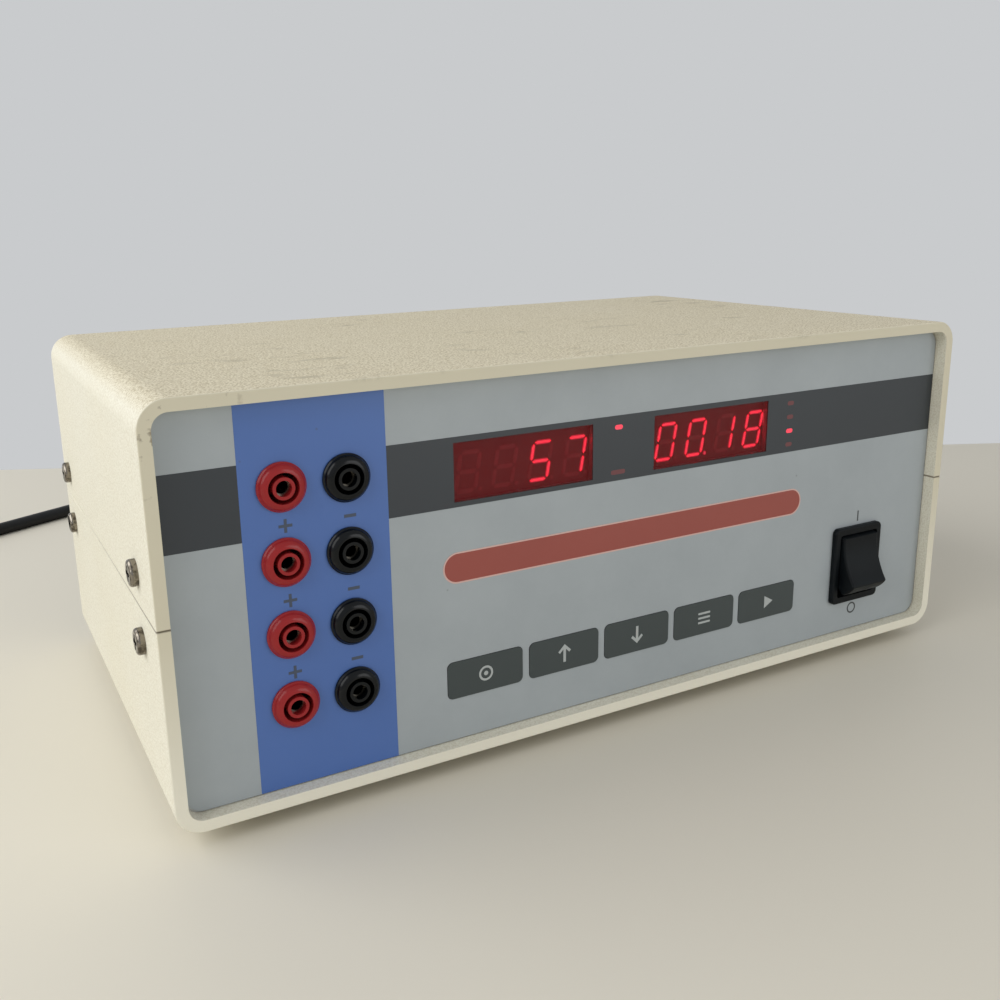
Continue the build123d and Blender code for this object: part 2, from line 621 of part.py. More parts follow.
# Display board with its key switches, held by studs and nuts
plunger_front = board_front - SWITCH_BODY - SWITCH_PLUNGER
with BuildPart() as display_board:
    with BuildSketch(facing(board_front)):
        with Locations(((board_left + board_right) / 2, (board_bottom + board_top) / 2)):
            Rectangle(board_right - board_left, board_top - board_bottom)
        with Locations(*stud_spots):
            Circle(STUD_PIN_RADIUS + SCREW_CLEARANCE, mode=Mode.SUBTRACT)
    extrude(amount=-BOARD_THICKNESS)
write(display_board, "display_board")

with BuildPart() as key_switches:
    with BuildSketch(facing(board_front)):
        with Locations(*[(x, key_z) for x in key_xs]):
            Rectangle(SWITCH_SIZE, SWITCH_SIZE)
    extrude(amount=SWITCH_BODY)
    with BuildSketch(facing(board_front - SWITCH_BODY)):
        with Locations(*[(x, key_z) for x in key_xs]):
            Circle(KEY_STEM_RADIUS)
    extrude(amount=SWITCH_PLUNGER)
write(key_switches, "key_switches")

with BuildPart() as board_studs:
    with BuildSketch(facing(PANEL_BACK)):
        with Locations(*stud_spots):
            Circle(STUD_RADIUS)
    extrude(amount=PANEL_BACK - board_front)
    with BuildSketch(facing(board_front)):
        with Locations(*stud_spots):
            Circle(STUD_PIN_RADIUS)
    extrude(amount=-BOARD_THICKNESS - STUD_PIN_LENGTH)
    with BuildSketch(facing(board_front + BOARD_THICKNESS)):
        with Locations(*stud_spots):
            RegularPolygon(BOARD_NUT_RADIUS, 6)
    extrude(amount=-BOARD_NUT_THICKNESS)
write(board_studs, "board_studs")

# Five key pads: a lip behind the overlay keeps them in, a stem meets the switch
lip_front = PANEL_FRONT + KEY_GAP
pad_back = lip_front + KEY_LIP_THICKNESS
for number, x in enumerate(key_xs, start=1):
    with BuildPart() as key:
        with BuildSketch(facing(FACE - KEY_PROUD)):
            with Locations((x, key_z)):
                RectangleRounded(key_width - 2 * KEY_GAP, KEY_HEIGHT - 2 * KEY_GAP, KEY_CORNER)
        extrude(amount=FACE - KEY_PROUD - pad_back)
        with BuildSketch(facing(lip_front)):
            with Locations((x, key_z)):
                Rectangle(key_width - 2 * KEY_GAP, KEY_HEIGHT - 2 * KEY_GAP + 2 * KEY_LIP)
        extrude(amount=-KEY_LIP_THICKNESS)
        with BuildSketch(facing(pad_back)):
            with Locations((x, key_z)):
                Circle(KEY_STEM_RADIUS)
        extrude(amount=pad_back - (plunger_front - KEY_STOP_GAP))
    write(key, f"key_{number}")

# Rocker switch: bezel and body in one moulding, with bearing holes for the paddle's pins
mouth_height = 2 * (PADDLE_RADIUS + PADDLE_GAP)
pivot_y = FACE + PIVOT_BEHIND_PANEL
body_back = FACE + ROCKER_BODY_DEPTH
with BuildPart() as rocker_housing:
    with BuildSketch(facing(FACE)):
        with Locations((rocker_x, rocker_z)):
            RectangleRounded(BEZEL_WIDTH, BEZEL_HEIGHT, BEZEL_CORNER)
    extrude(amount=BEZEL_THICKNESS)
    fillet(rocker_housing.faces().sort_by(Axis.Y)[0].edges(), radius=BEZEL_THICKNESS / 3)
    with BuildSketch(facing(FACE)):
        with Locations((rocker_x, rocker_z)):
            Rectangle(ROCKER_BODY_WIDTH, ROCKER_BODY_HEIGHT)
    extrude(amount=-ROCKER_BODY_DEPTH)
    with BuildSketch(facing(FACE - BEZEL_THICKNESS)):
        with Locations((rocker_x, rocker_z)):
            RectangleRounded(ROCKER_MOUTH_WIDTH, mouth_height, ROCKER_MOUTH_CORNER)
    extrude(amount=ROCKER_BACK_WALL - BEZEL_THICKNESS - ROCKER_BODY_DEPTH, mode=Mode.SUBTRACT)
    with BuildSketch(Plane.YZ.offset(rocker_x - ROCKER_BODY_WIDTH / 2)):
        with Locations((pivot_y, rocker_z)):
            Circle(PIVOT_PIN_RADIUS + PIVOT_CLEARANCE)
    extrude(amount=ROCKER_BODY_WIDTH, mode=Mode.SUBTRACT)
    with BuildSketch(facing(body_back)):
        with Locations((rocker_x, rocker_z)):
            with GridLocations(BLADE_SPACING, BLADE_SPACING, 2, 2):
                Rectangle(BLADE_THICKNESS, BLADE_WIDTH)
    extrude(amount=-BLADE_LENGTH)
write(rocker_housing, "rocker_housing")


def paddle_point(angle, radius=PADDLE_RADIUS):
    """A point of the paddle's side view, at an angle above its own middle line."""
    turned = math.radians(angle + PADDLE_TILT)
    return (pivot_y - radius * math.cos(turned), rocker_z + radius * math.sin(turned))


# Paddle: concave face between two edges, round ends about the pivot, hub and pins
face_middle = PADDLE_RADIUS * math.cos(math.radians(PADDLE_HALF_ANGLE)) - PADDLE_SAGITTA
with BuildPart() as rocker_paddle:
    with BuildSketch(Plane.YZ.offset(rocker_x - PADDLE_WIDTH / 2)):
        with BuildLine():
            ThreePointArc(paddle_point(PADDLE_HALF_ANGLE), paddle_point(0, face_middle),
                          paddle_point(-PADDLE_HALF_ANGLE))
            ThreePointArc(paddle_point(-PADDLE_HALF_ANGLE),
                          paddle_point(-(PADDLE_HALF_ANGLE + PADDLE_END_ANGLE) / 2),
                          paddle_point(-PADDLE_END_ANGLE))
            Polyline(paddle_point(-PADDLE_END_ANGLE), paddle_point(180, PIVOT_HUB_RADIUS),
                     paddle_point(PADDLE_END_ANGLE))
            ThreePointArc(paddle_point(PADDLE_END_ANGLE),
                          paddle_point((PADDLE_HALF_ANGLE + PADDLE_END_ANGLE) / 2),
                          paddle_point(PADDLE_HALF_ANGLE))
        make_face()
    extrude(amount=PADDLE_WIDTH)
    side_arcs = rocker_paddle.edges().filter_by(GeomType.CIRCLE)
    pressed_face = rocker_paddle.faces().filter_by(GeomType.CYLINDER).sort_by(Axis.Y)[0]
    fillet(side_arcs + pressed_face.edges().filter_by(Axis.X), radius=PADDLE_EDGE)
    with BuildSketch(Plane.YZ.offset(rocker_x - ROCKER_MOUTH_WIDTH / 2 - PIVOT_PIN_GRIP)):
        with Locations((pivot_y, rocker_z)):
            Circle(PIVOT_PIN_RADIUS)
    extrude(amount=ROCKER_MOUTH_WIDTH + 2 * PIVOT_PIN_GRIP)
write(rocker_paddle, "rocker_paddle")

# Rear panel with the inlet's cutout and vent slots
cutout_width = CAVITY_WIDTH + 2 * INLET_WALL + 2 * INLET_CUTOUT_GAP
inlet_body_top = CAVITY_HEIGHT / 2 + INLET_WALL
inlet_body_bottom = DRAWER_DROP + DRAWER_HEIGHT / 2 + DRAWER_GAP + INLET_WALL
inlet_body_z = inlet_z + (inlet_body_top - inlet_body_bottom) / 2
inlet_body_height = inlet_body_top + inlet_body_bottom
with BuildPart() as rear_panel:
    with BuildSketch(facing(REAR_FACE)):
        with Locations((0, SEAM)):
            RectangleRounded(INNER_WIDTH + edge, INNER_HEIGHT + edge, INNER_RADIUS + edge / 2)
        with Locations((inlet_x, inlet_body_z)):
            Rectangle(cutout_width, inlet_body_height + 2 * INLET_CUTOUT_GAP, mode=Mode.SUBTRACT)
        with Locations((LEFT + REAR_VENT_X, BASE + REAR_VENT_Z)):
            with GridLocations(VENT_PITCH, 0, VENT_COUNT, 1):
                SlotOverall(VENT_LENGTH, VENT_WIDTH, rotation=90, mode=Mode.SUBTRACT)
    extrude(amount=PANEL_THICKNESS)
write(rear_panel, "rear_panel")

# Mains inlet: flange, body with the connector's cavity, three pins and the drawer's chamber
flange_height = INLET_FLANGE_TOP + INLET_FLANGE_BOTTOM
flange_z = inlet_z + (INLET_FLANGE_TOP - INLET_FLANGE_BOTTOM) / 2
inlet_face = REAR_FACE + INLET_FLANGE
pin_spots = [(-INLET_PIN_PITCH, -INLET_PIN_DROP), (INLET_PIN_PITCH, -INLET_PIN_DROP), (0, EARTH_PIN_RISE)]


def cavity_outline(inset):
    """The connector's outline: a rectangle with two chamfered upper corners."""
    half_width = CAVITY_WIDTH / 2 - inset
    half_height = CAVITY_HEIGHT / 2 - inset
    return Polyline(
        (-half_width, -half_height),
        (half_width, -half_height),
        (half_width, half_height - CAVITY_CHAMFER),
        (half_width - CAVITY_CHAMFER, half_height),
        (-half_width + CAVITY_CHAMFER, half_height),
        (-half_width, half_height - CAVITY_CHAMFER),
        close=True,
    )


def inlet_plane(y):
    """A plane at depth y on the inlet's axis that looks out of the rear."""
    return Plane(origin=(inlet_x, y, inlet_z), x_dir=(-1, 0, 0), z_dir=(0, 1, 0))


with BuildPart() as mains_inlet:
    with BuildSketch(looking_back(REAR_FACE)):
        with Locations((-inlet_x, flange_z)):
            RectangleRounded(INLET_FLANGE_WIDTH, flange_height, INLET_WALL)
    extrude(amount=INLET_FLANGE)
    with BuildSketch(looking_back(REAR_FACE)):
        with Locations((-inlet_x, inlet_body_z)):
            Rectangle(CAVITY_WIDTH + 2 * INLET_WALL, inlet_body_height)
    extrude(amount=-INLET_DEPTH)
    with BuildSketch(inlet_plane(inlet_face)):
        with BuildLine():
            cavity_outline(0)
        make_face()
    extrude(amount=-CAVITY_DEPTH, mode=Mode.SUBTRACT)
    with BuildSketch(looking_back(inlet_face)):
        with Locations((-inlet_x, drawer_z)):
            Rectangle(DRAWER_WIDTH + 2 * DRAWER_GAP, DRAWER_HEIGHT + 2 * DRAWER_GAP)
    extrude(amount=-DRAWER_DEPTH - DRAWER_GAP, mode=Mode.SUBTRACT)
write(mains_inlet, "mains_inlet")

with BuildPart() as inlet_pins:
    with BuildSketch(inlet_plane(inlet_face - CAVITY_DEPTH)):
        with Locations(*pin_spots):
            Rectangle(INLET_PIN_THICKNESS, INLET_PIN_WIDTH)
    extrude(amount=INLET_PIN_LENGTH)
    fillet(inlet_pins.faces().group_by(Axis.Y)[-1].edges(), radius=INLET_PIN_EDGE)
write(inlet_pins, "inlet_pins")

# Fuse drawer: tray with a finger lip, and the fuse lying in it
drawer_back = inlet_face - DRAWER_DEPTH
with BuildPart() as fuse_drawer:
    with BuildSketch(looking_back(drawer_back)):
        with Locations((-inlet_x, drawer_z)):
            Rectangle(DRAWER_WIDTH, DRAWER_HEIGHT)
    extrude(amount=DRAWER_DEPTH + DRAWER_PROUD)
    with BuildSketch(Plane.XY.offset(drawer_z + DRAWER_HEIGHT / 2)):
        with Locations((inlet_x, inlet_face - FUSE_SETBACK - FUSE_LENGTH / 2)):
            Rectangle(DRAWER_WIDTH - 2 * INLET_WALL, FUSE_LENGTH + 2 * DRAWER_GAP)
    extrude(amount=-DRAWER_HEIGHT + INLET_WALL, mode=Mode.SUBTRACT)
    with BuildSketch(looking_back(inlet_face + DRAWER_PROUD)):
        with Locations((-inlet_x, drawer_z + DRAWER_HEIGHT / 2)):
            Rectangle(DRAWER_WIDTH / 3, DRAWER_HEIGHT / 2)
    extrude(amount=-DRAWER_PROUD - DRAWER_GAP, mode=Mode.SUBTRACT)
write(fuse_drawer, "fuse_drawer")

fuse_front = inlet_face - FUSE_SETBACK
with BuildPart() as fuse:
    with BuildSketch(looking_back(fuse_front - FUSE_LENGTH)):
        with Locations((-inlet_x, drawer_z - DRAWER_HEIGHT / 2 + INLET_WALL + FUSE_RADIUS)):
            Circle(FUSE_RADIUS)
    extrude(amount=FUSE_LENGTH)
write(fuse, "fuse")

# Power board on the floor's bosses, with a heat sink and two reservoir capacitors
board_plane_z = FLOOR + BOARD_BOSS_HEIGHT
board_centre = (LEFT + MAIN_BOARD_X, FRONT + MAIN_BOARD_Y)
board_top_z = board_plane_z + BOARD_THICKNESS
with BuildPart() as main_board:
    with BuildSketch(Plane.XY.offset(board_plane_z)):
        with Locations(board_centre):
            Rectangle(MAIN_BOARD_WIDTH, MAIN_BOARD_DEPTH)
    extrude(amount=BOARD_THICKNESS)
    with BuildSketch(Plane.XY.offset(board_top_z)):
        with Locations((board_centre[0], board_centre[1] - MAIN_BOARD_DEPTH / 4)):
            with GridLocations(CAPACITOR_SPACING, 0, 2, 1):
                Circle(CAPACITOR_RADIUS)
    extrude(amount=CAPACITOR_HEIGHT)
write(main_board, "main_board")

sink_y = board_centre[1] + MAIN_BOARD_DEPTH / 2 - SINK_BASE
fin_step = (SINK_WIDTH - SINK_FIN_THICKNESS) / (SINK_FIN_COUNT - 1)
with BuildPart() as heat_sink:
    with BuildSketch(Plane.XY.offset(board_top_z)):
        with Locations((board_centre[0], sink_y)):
            Rectangle(SINK_WIDTH, SINK_BASE)
        with Locations((board_centre[0], sink_y - SINK_BASE / 2 - SINK_FIN / 2)):
            with GridLocations(fin_step, 0, SINK_FIN_COUNT, 1):
                Rectangle(SINK_FIN_THICKNESS, SINK_FIN)
    extrude(amount=SINK_HEIGHT)
write(heat_sink, "heat_sink")

# Mains transformer: laminated core with two windows and the winding on its middle limb
core_x = LEFT + CORE_X
core_y = FRONT + CORE_Y
core_z = FLOOR + FLOOR_RIB_HEIGHT + CORE_HEIGHT / 2
core_window_width = (CORE_WIDTH - 4 * CORE_LIMB) / 2
core_window_height = CORE_HEIGHT - 2 * CORE_LIMB
with BuildPart() as transformer_core:
    with BuildSketch(facing(core_y - CORE_DEPTH / 2)):
        with Locations((core_x, core_z)):
            Rectangle(CORE_WIDTH, CORE_HEIGHT)
            with GridLocations(2 * CORE_LIMB + core_window_width, 0, 2, 1):
                Rectangle(core_window_width, core_window_height, mode=Mode.SUBTRACT)
    extrude(amount=-CORE_DEPTH)
write(transformer_core, "transformer_core")

limb_gap = 2 * CORE_LIMB + 2 * WINDING_GAP
winding_width = 2 * CORE_LIMB + 2 * core_window_width - 2 * WINDING_GAP
with BuildPart() as transformer_winding:
    with BuildSketch(Plane.XY.offset(core_z - core_window_height / 2 + WINDING_GAP)):
        with Locations((core_x, core_y)):
            RectangleRounded(winding_width, CORE_DEPTH + 2 * WINDING_BULGE, core_window_width / 2)
            Rectangle(limb_gap, CORE_DEPTH + 2 * WINDING_GAP, mode=Mode.SUBTRACT)
    extrude(amount=core_window_height - 2 * WINDING_GAP)
write(transformer_winding, "transformer_winding")

# Mains connector: nose in the inlet's cavity, body and strain relief
body_start = inlet_face + CONNECTOR_SEAT_GAP
relief_start = body_start + CONNECTOR_LENGTH
cord_start = relief_start + RELIEF_LENGTH
with BuildPart() as mains_connector:
    with BuildSketch(inlet_plane(body_start)):
        with BuildLine():
            cavity_outline(CONNECTOR_GAP)
        make_face()
    extrude(amount=-NOSE_LENGTH)
    with BuildSketch(inlet_plane(body_start)):
        RectangleRounded(CONNECTOR_WIDTH, CONNECTOR_HEIGHT, CONNECTOR_CORNER)
    with BuildSketch(inlet_plane(relief_start)):
        RectangleRounded(2 * RELIEF_ROOT_RADIUS, 2 * RELIEF_ROOT_RADIUS,
                         RELIEF_ROOT_RADIUS - RELIEF_ROOT_FLAT / 2)
    loft(ruled=True)
    with BuildSketch(inlet_plane(relief_start)):
        Circle(RELIEF_ROOT_RADIUS)
    with BuildSketch(inlet_plane(cord_start)):
        Circle(RELIEF_TIP_RADIUS)
    loft()
    with BuildSketch(inlet_plane(body_start - NOSE_LENGTH)):
        with Locations(*pin_spots):
            Rectangle(INLET_PIN_THICKNESS + 2 * PIN_SLOT_GAP, INLET_PIN_WIDTH + 2 * PIN_SLOT_GAP)
    extrude(amount=NOSE_LENGTH, mode=Mode.SUBTRACT)
write(mains_connector, "mains_connector")

# Coil of the spare cord: one spiral in, a climb of one layer, and the same spiral out
cord_radius = CORD_DIAMETER / 2
coil_z = TIE_THICKNESS + TIE_GAP + cord_radius
coil_entry = Vector(-228.9, 243.3, coil_z)
entry_turn = math.radians(COIL_ENTRY_ANGLE)
coil_centre = coil_entry - Vector(math.cos(entry_turn), math.sin(entry_turn), 0) * COIL_RADIUS
inner_turn_radius = COIL_RADIUS - COIL_TURNS * COIL_TURN_PITCH
quarter_count = round(COIL_TURNS * 4)


def coil_stations():
    """Points and travel directions along the coil, one for each quarter turn."""
    stations = []
    shrink = COIL_TURN_PITCH / (2 * math.pi)
    for step in range(2 * quarter_count + 3):
        turned = entry_turn - step * math.pi / 2
        outward = Vector(math.cos(turned), math.sin(turned), 0)
        onward = Vector(math.sin(turned), -math.cos(turned), 0)
        if step <= quarter_count:
            radius = COIL_RADIUS - step * COIL_TURN_PITCH / 4
            level = 0.0
            drift = -shrink
        elif step == quarter_count + 1:
            radius = inner_turn_radius - COIL_TURN_PITCH / 6
            level = 0.5
            drift = 0.0
        else:
            radius = inner_turn_radius + (step - quarter_count - 2) * COIL_TURN_PITCH / 4
            level = 1.0
            drift = shrink
        if step in (0, 2 * quarter_count + 2):
            drift = 0.0
        mean_slope = COIL_LAYER_PITCH / (math.pi * inner_turn_radius)
        climb = COIL_CLIMB * mean_slope if level == 0.5 else 0.0
        point = coil_centre + outward * radius + Vector(0, 0, level * COIL_LAYER_PITCH)
        direction = (onward * radius + outward * drift + Vector(0, 0, climb * radius)).normalized()
        stations.append((point, direction))
    return stations


def biarc(start, start_way, end, end_way):
    """The middle point and direction of two arcs that join two points smoothly."""
    chord = end - start
    ways = start_way + end_way
    weight = 2 * (1 - start_way.dot(end_way))
    reach = chord.dot(ways)
    if abs(weight) < 1e-9:
        span = chord.dot(chord) / (2 * reach)
    else:
        span = (math.sqrt(reach * reach + weight * chord.dot(chord)) - reach) / weight
    middle = (start + end + (start_way - end_way) * span) * 0.5
    return middle, ((end - end_way * span) - (start + start_way * span)).normalized()


stations = coil_stations()
coil_line = []
for (start, start_way), (end, end_way) in zip(stations[:-1], stations[1:]):
    middle, middle_way = biarc(start, start_way, end, end_way)
    coil_line.append((start, start_way, middle))
    coil_line.append((middle, middle_way, end))
with BuildPart() as cord_coil:
    with BuildLine() as coil_path:
        for start, way, end in coil_line:
            TangentArc(start, end, tangent=way)
    with BuildSketch(Plane(origin=stations[0][0], z_dir=stations[0][1])):
        Circle(cord_radius)
    sweep(path=coil_path.wire())
write(cord_coil, "cord_coil")

turn_points = []
for edge_piece in coil_path.wire().edges():
    count = max(4, round(edge_piece.length / SAMPLE_STEP))
    turn_points += [edge_piece.position_at(n / count) for n in range(count)]
reach = int(6 * CORD_DIAMETER / SAMPLE_STEP)
least_gap = min(
    (a - b).length - CORD_DIAMETER
    for i, a in enumerate(turn_points)
    for b in turn_points[i + reach:]
)
print(f"coil length {coil_path.wire().length:.1f}, least gap between turns {least_gap:.2f}")
print(f"coil volume against section times length "
      f"{cord_coil.part.volume / (math.pi * cord_radius ** 2 * coil_path.wire().length):.4f}")

# Tie round the coil's far side
tie_turn = entry_turn + math.pi
tie_way = Vector(math.cos(tie_turn), math.sin(tie_turn), 0)
tie_low = inner_turn_radius + COIL_TURN_PITCH / 4 - cord_radius - TIE_GAP
tie_high = COIL_RADIUS - COIL_TURN_PITCH / 2 + cord_radius + TIE_GAP
tie_height = COIL_LAYER_PITCH + CORD_DIAMETER + 2 * TIE_GAP
tie_centre = coil_centre + tie_way * ((tie_low + tie_high) / 2)
tie_middle_z = TIE_THICKNESS + tie_height / 2
tie_normal = Vector(-tie_way.Y, tie_way.X, 0)
tie_plane = Plane(
    origin=(tie_centre.X, tie_centre.Y, tie_middle_z), x_dir=tie_way, z_dir=tie_normal
)
with BuildPart() as cord_tie:
    with BuildSketch(tie_plane):
        RectangleRounded(tie_high - tie_low + 2 * TIE_THICKNESS, tie_height + 2 * TIE_THICKNESS,
                         TIE_THICKNESS + cord_radius / 2)
        RectangleRounded(tie_high - tie_low, tie_height, cord_radius / 2, mode=Mode.SUBTRACT)
    extrude(amount=TIE_WIDTH / 2, both=True)
write(cord_tie, "cord_tie")

# Free stretches of the cord: from the connector to the coil, and from the coil to the plug
way_out = stations[-1][1]
coil_exit = stations[-1][0]
plug_z = PLUG_RADIUS + TIE_GAP
lead_points = [
    Vector(inlet_x, cord_start, inlet_z),
    Vector(inlet_x, cord_start + LEAD_STRAIGHT, inlet_z),
    Vector(99.5, 212.0, 36.0),
    Vector(94.0, 244.0, 14.0),
    Vector(84.0, 275.0, 3.5),
    Vector(60.0, 303.0, cord_radius),
    Vector(22.0, 322.0, cord_radius),
    Vector(-24.0, 327.0, cord_radius),
    Vector(-69.0, 317.0, cord_radius),
    Vector(-110.0, 299.9, cord_radius),
    Vector(-188.0, 259.4, coil_z),
    coil_entry,
]
tail_points = [
    coil_exit,
    coil_exit + way_out * TAIL_STRAIGHT,
    Vector(-275.0, 215.0, 5.5),
    Vector(-288.0, 188.5, cord_radius + 0.2),
    Vector(-298.5, 150.5, cord_radius),
    Vector(-303.0, 114.5, 8.5),
    Vector(-305.0, 83.0, plug_z),
    Vector(-305.0, 57.0, plug_z),
]


def corner_radii(points):
    """The largest arc radius at each corner that its two runs leave room for."""
    radii = []
    for before, here, after in zip(points[:-2], points[1:-1], points[2:]):
        turn = math.radians((here - before).get_angle(after - here))
        shorter = min((here - before).length, (after - here).length)
        radii.append(CORNER_SHARE * shorter / math.tan(turn / 2))
    return radii


cord_length = coil_path.wire().length
for name, points in (("cord_lead", lead_points), ("cord_tail", tail_points)):
    radii = corner_radii(points)
    with BuildPart() as cord:
        with BuildLine() as cord_path:
            FilletPolyline(*points, radius=radii)
        with BuildSketch(Plane(origin=points[0], z_dir=points[1] - points[0])):
            Circle(cord_radius)
        sweep(path=cord_path.wire())
    write(cord, name)
    run_length = cord_path.wire().length
    cord_length += run_length
    print(f"{name} length {run_length:.1f}, radii {[round(r) for r in radii]}")
    print(f"{name} volume against section times length "
          f"{cord.part.volume / (math.pi * cord_radius ** 2 * run_length):.4f}")
print(f"cord length in all {cord_length:.0f}")

# Plug at the cord's end, lying on its rim
plug_way = (tail_points[-1] - tail_points[-2]).normalized()
plug_side = Vector(-plug_way.Y, plug_way.X, 0)


def plug_plane(distance):
    """A plane across the plug's axis, at a distance from where the cord enters."""
    return Plane(origin=tail_points[-1] + plug_way * distance, x_dir=plug_side, z_dir=plug_way)


with BuildPart() as mains_plug:
    with BuildSketch(plug_plane(0)):
        Circle(RELIEF_TIP_RADIUS)
    with BuildSketch(plug_plane(RELIEF_LENGTH)):
        Circle(PLUG_NECK_RADIUS)
    loft()
    with BuildSketch(plug_plane(RELIEF_LENGTH)):
        Circle(PLUG_NECK_RADIUS)
    with BuildSketch(plug_plane(RELIEF_LENGTH + PLUG_LENGTH / 2)):
        Circle(PLUG_RADIUS)
    loft()
    with BuildSketch(plug_plane(RELIEF_LENGTH + PLUG_LENGTH / 2)):
        Circle(PLUG_RADIUS)
    extrude(amount=PLUG_LENGTH / 2)
    with BuildSketch(plug_plane(RELIEF_LENGTH + PLUG_LENGTH)):
        with Locations((-PLUG_PIN_PITCH / 2, 0), (PLUG_PIN_PITCH / 2, 0)):
            Circle(PLUG_PIN_RADIUS)
    extrude(amount=PLUG_PIN_LENGTH)
    fillet(mains_plug.faces().sort_by(Axis((0, 0, 0), tuple(plug_way)))[-2:].edges(),
           radius=PLUG_PIN_RADIUS / 2)
write(mains_plug, "mains_plug")
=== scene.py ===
"""Electrophoresis power supply: finishes, prints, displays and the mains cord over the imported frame.

The sections follow the object as it is put together. Metres, X to the right, Y to the back, Z up.
"""

import math

import bmesh
import bpy
from mathutils import Matrix, Vector


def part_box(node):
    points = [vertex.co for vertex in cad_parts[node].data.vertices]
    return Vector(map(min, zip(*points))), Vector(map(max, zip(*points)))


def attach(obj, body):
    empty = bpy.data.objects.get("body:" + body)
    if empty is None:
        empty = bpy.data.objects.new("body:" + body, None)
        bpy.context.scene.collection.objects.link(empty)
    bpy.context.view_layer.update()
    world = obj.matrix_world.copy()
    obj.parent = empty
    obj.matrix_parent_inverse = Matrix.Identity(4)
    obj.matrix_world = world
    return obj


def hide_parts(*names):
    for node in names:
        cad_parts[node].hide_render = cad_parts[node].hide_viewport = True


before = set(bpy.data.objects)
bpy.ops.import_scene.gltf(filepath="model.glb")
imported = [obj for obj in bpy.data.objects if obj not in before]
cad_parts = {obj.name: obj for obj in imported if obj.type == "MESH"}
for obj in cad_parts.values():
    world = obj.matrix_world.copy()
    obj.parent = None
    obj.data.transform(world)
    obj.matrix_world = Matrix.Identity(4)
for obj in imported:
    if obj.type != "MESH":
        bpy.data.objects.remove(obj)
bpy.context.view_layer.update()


# Case halves. Two injection-moulded ABS shells in ivory meet at mid height. Their outside has a
# fine spark-eroded grain, the rims are smooth, and years on a bench have yellowed and scuffed the
# top, and left grime in the seam and at the front corner.
mm = 0.001
shell_low, shell_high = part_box("lower_shell")[0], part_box("upper_shell")[1]
seam_z = (shell_low.z + shell_high.z) / 2
front_y = shell_low.y


def linear(code):
    """The linear colour of an sRGB hex value."""
    channels = [int(code[n:n + 2], 16) / 255 for n in (1, 3, 5)]
    return [c / 12.92 if c <= 0.04045 else ((c + 0.055) / 1.055) ** 2.4 for c in channels] + [1.0]


def add(tree, kind, sockets={}, **settings):
    """A new shader node with its settings, and its inputs set or linked."""
    node = tree.nodes.new(kind)
    for name, value in settings.items():
        setattr(node, name, value)
    for name, value in sockets.items():
        if isinstance(value, bpy.types.NodeSocket):
            tree.links.new(value, node.inputs[name])
        else:
            node.inputs[name].default_value = value
    return node


def new_finish(name, **shader_values):
    """A new material, its node tree, its shader and the Object coordinates."""
    finish = bpy.data.materials.new(name)
    finish.use_nodes = True
    tree = finish.node_tree
    shader = tree.nodes["Principled BSDF"]
    for socket, value in shader_values.items():
        shader.inputs[socket.replace("_", " ")].default_value = value
    return finish, tree, shader, add(tree, "ShaderNodeTexCoord").outputs["Object"]


def dress(finish, *names):
    """Puts a finish on CAD nodes."""
    for name in names:
        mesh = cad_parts[name].data
        mesh.materials.clear()
        mesh.materials.append(finish)


# satin moulded plastic, warm white, that has aged unevenly
ivory_abs, tree, shader, place = new_finish("moulded_abs_ivory", Roughness=0.55, IOR=1.53)
normal = add(tree, "ShaderNodeNewGeometry").outputs["Normal"]
facing = add(tree, "ShaderNodeSeparateXYZ", {"Vector": normal})
where = add(tree, "ShaderNodeSeparateXYZ", {"Vector": place})
toward_front = add(tree, "ShaderNodeMath", {0: facing.outputs["Y"]}, operation="ABSOLUTE")
grained = add(tree, "ShaderNodeMath", {0: toward_front.outputs[0], 1: 0.5}, operation="LESS_THAN")
upward = add(tree, "ShaderNodeMapRange", {"Value": facing.outputs["Z"], "From Min": 0.5, "From Max": 1.0})
high_up = add(tree, "ShaderNodeMath", {0: where.outputs["Z"], 1: seam_z}, operation="GREATER_THAN")
upward = add(tree, "ShaderNodeMath", {0: upward.outputs[0], 1: high_up.outputs[0]}, operation="MULTIPLY")
# spark-eroded grain of about 0.5 mm, drawn at 0.65 mm so that it shows
grain = add(tree, "ShaderNodeTexNoise", {"Vector": place, "Scale": 1 / (0.65 * mm), "Detail": 3.0,
                                         "Roughness": 0.7})
cloud = add(tree, "ShaderNodeTexNoise", {"Vector": place, "Scale": 1 / (55 * mm), "Detail": 4.0})
yellowed = add(tree, "ShaderNodeMapRange", {"Value": cloud.outputs[0], "From Min": 0.35, "From Max": 0.75,
                                           "To Max": 0.35})
colour = add(tree, "ShaderNodeMix", {0: yellowed.outputs[0], 6: linear("#E8E5D5"), 7: linear("#DFD9C2")},
             data_type="RGBA")
top_share = add(tree, "ShaderNodeMath", {0: upward.outputs[0], 1: 0.75}, operation="MULTIPLY")
colour = add(tree, "ShaderNodeMix", {0: top_share.outputs[0], 6: colour.outputs[2], 7: linear("#E6DCBF")},
             data_type="RGBA")
# the front-facing rims take their own tone, darker and yellower than the sides near the seam, and lighter
# towards the bottom as painted light bounced up from the bench
rim_share = add(tree, "ShaderNodeMapRange", {"Value": toward_front.outputs[0], "From Min": 0.5,
                                            "From Max": 0.9, "To Max": 0.7})
painted_bounce_share = add(tree, "ShaderNodeMapRange", {"Value": where.outputs["Z"], "From Min": seam_z,
                                           "From Max": shell_low.z + 10 * mm})
rim_tone_and_painted_bounce = add(tree, "ShaderNodeMix", {0: painted_bounce_share.outputs[0], 6: linear("#CFC7AC"), 7: linear("#F1EDDC")},
                 data_type="RGBA")
colour = add(tree, "ShaderNodeMix", {0: rim_share.outputs[0], 6: colour.outputs[2],
                                     7: rim_tone_and_painted_bounce.outputs[2]}, data_type="RGBA")
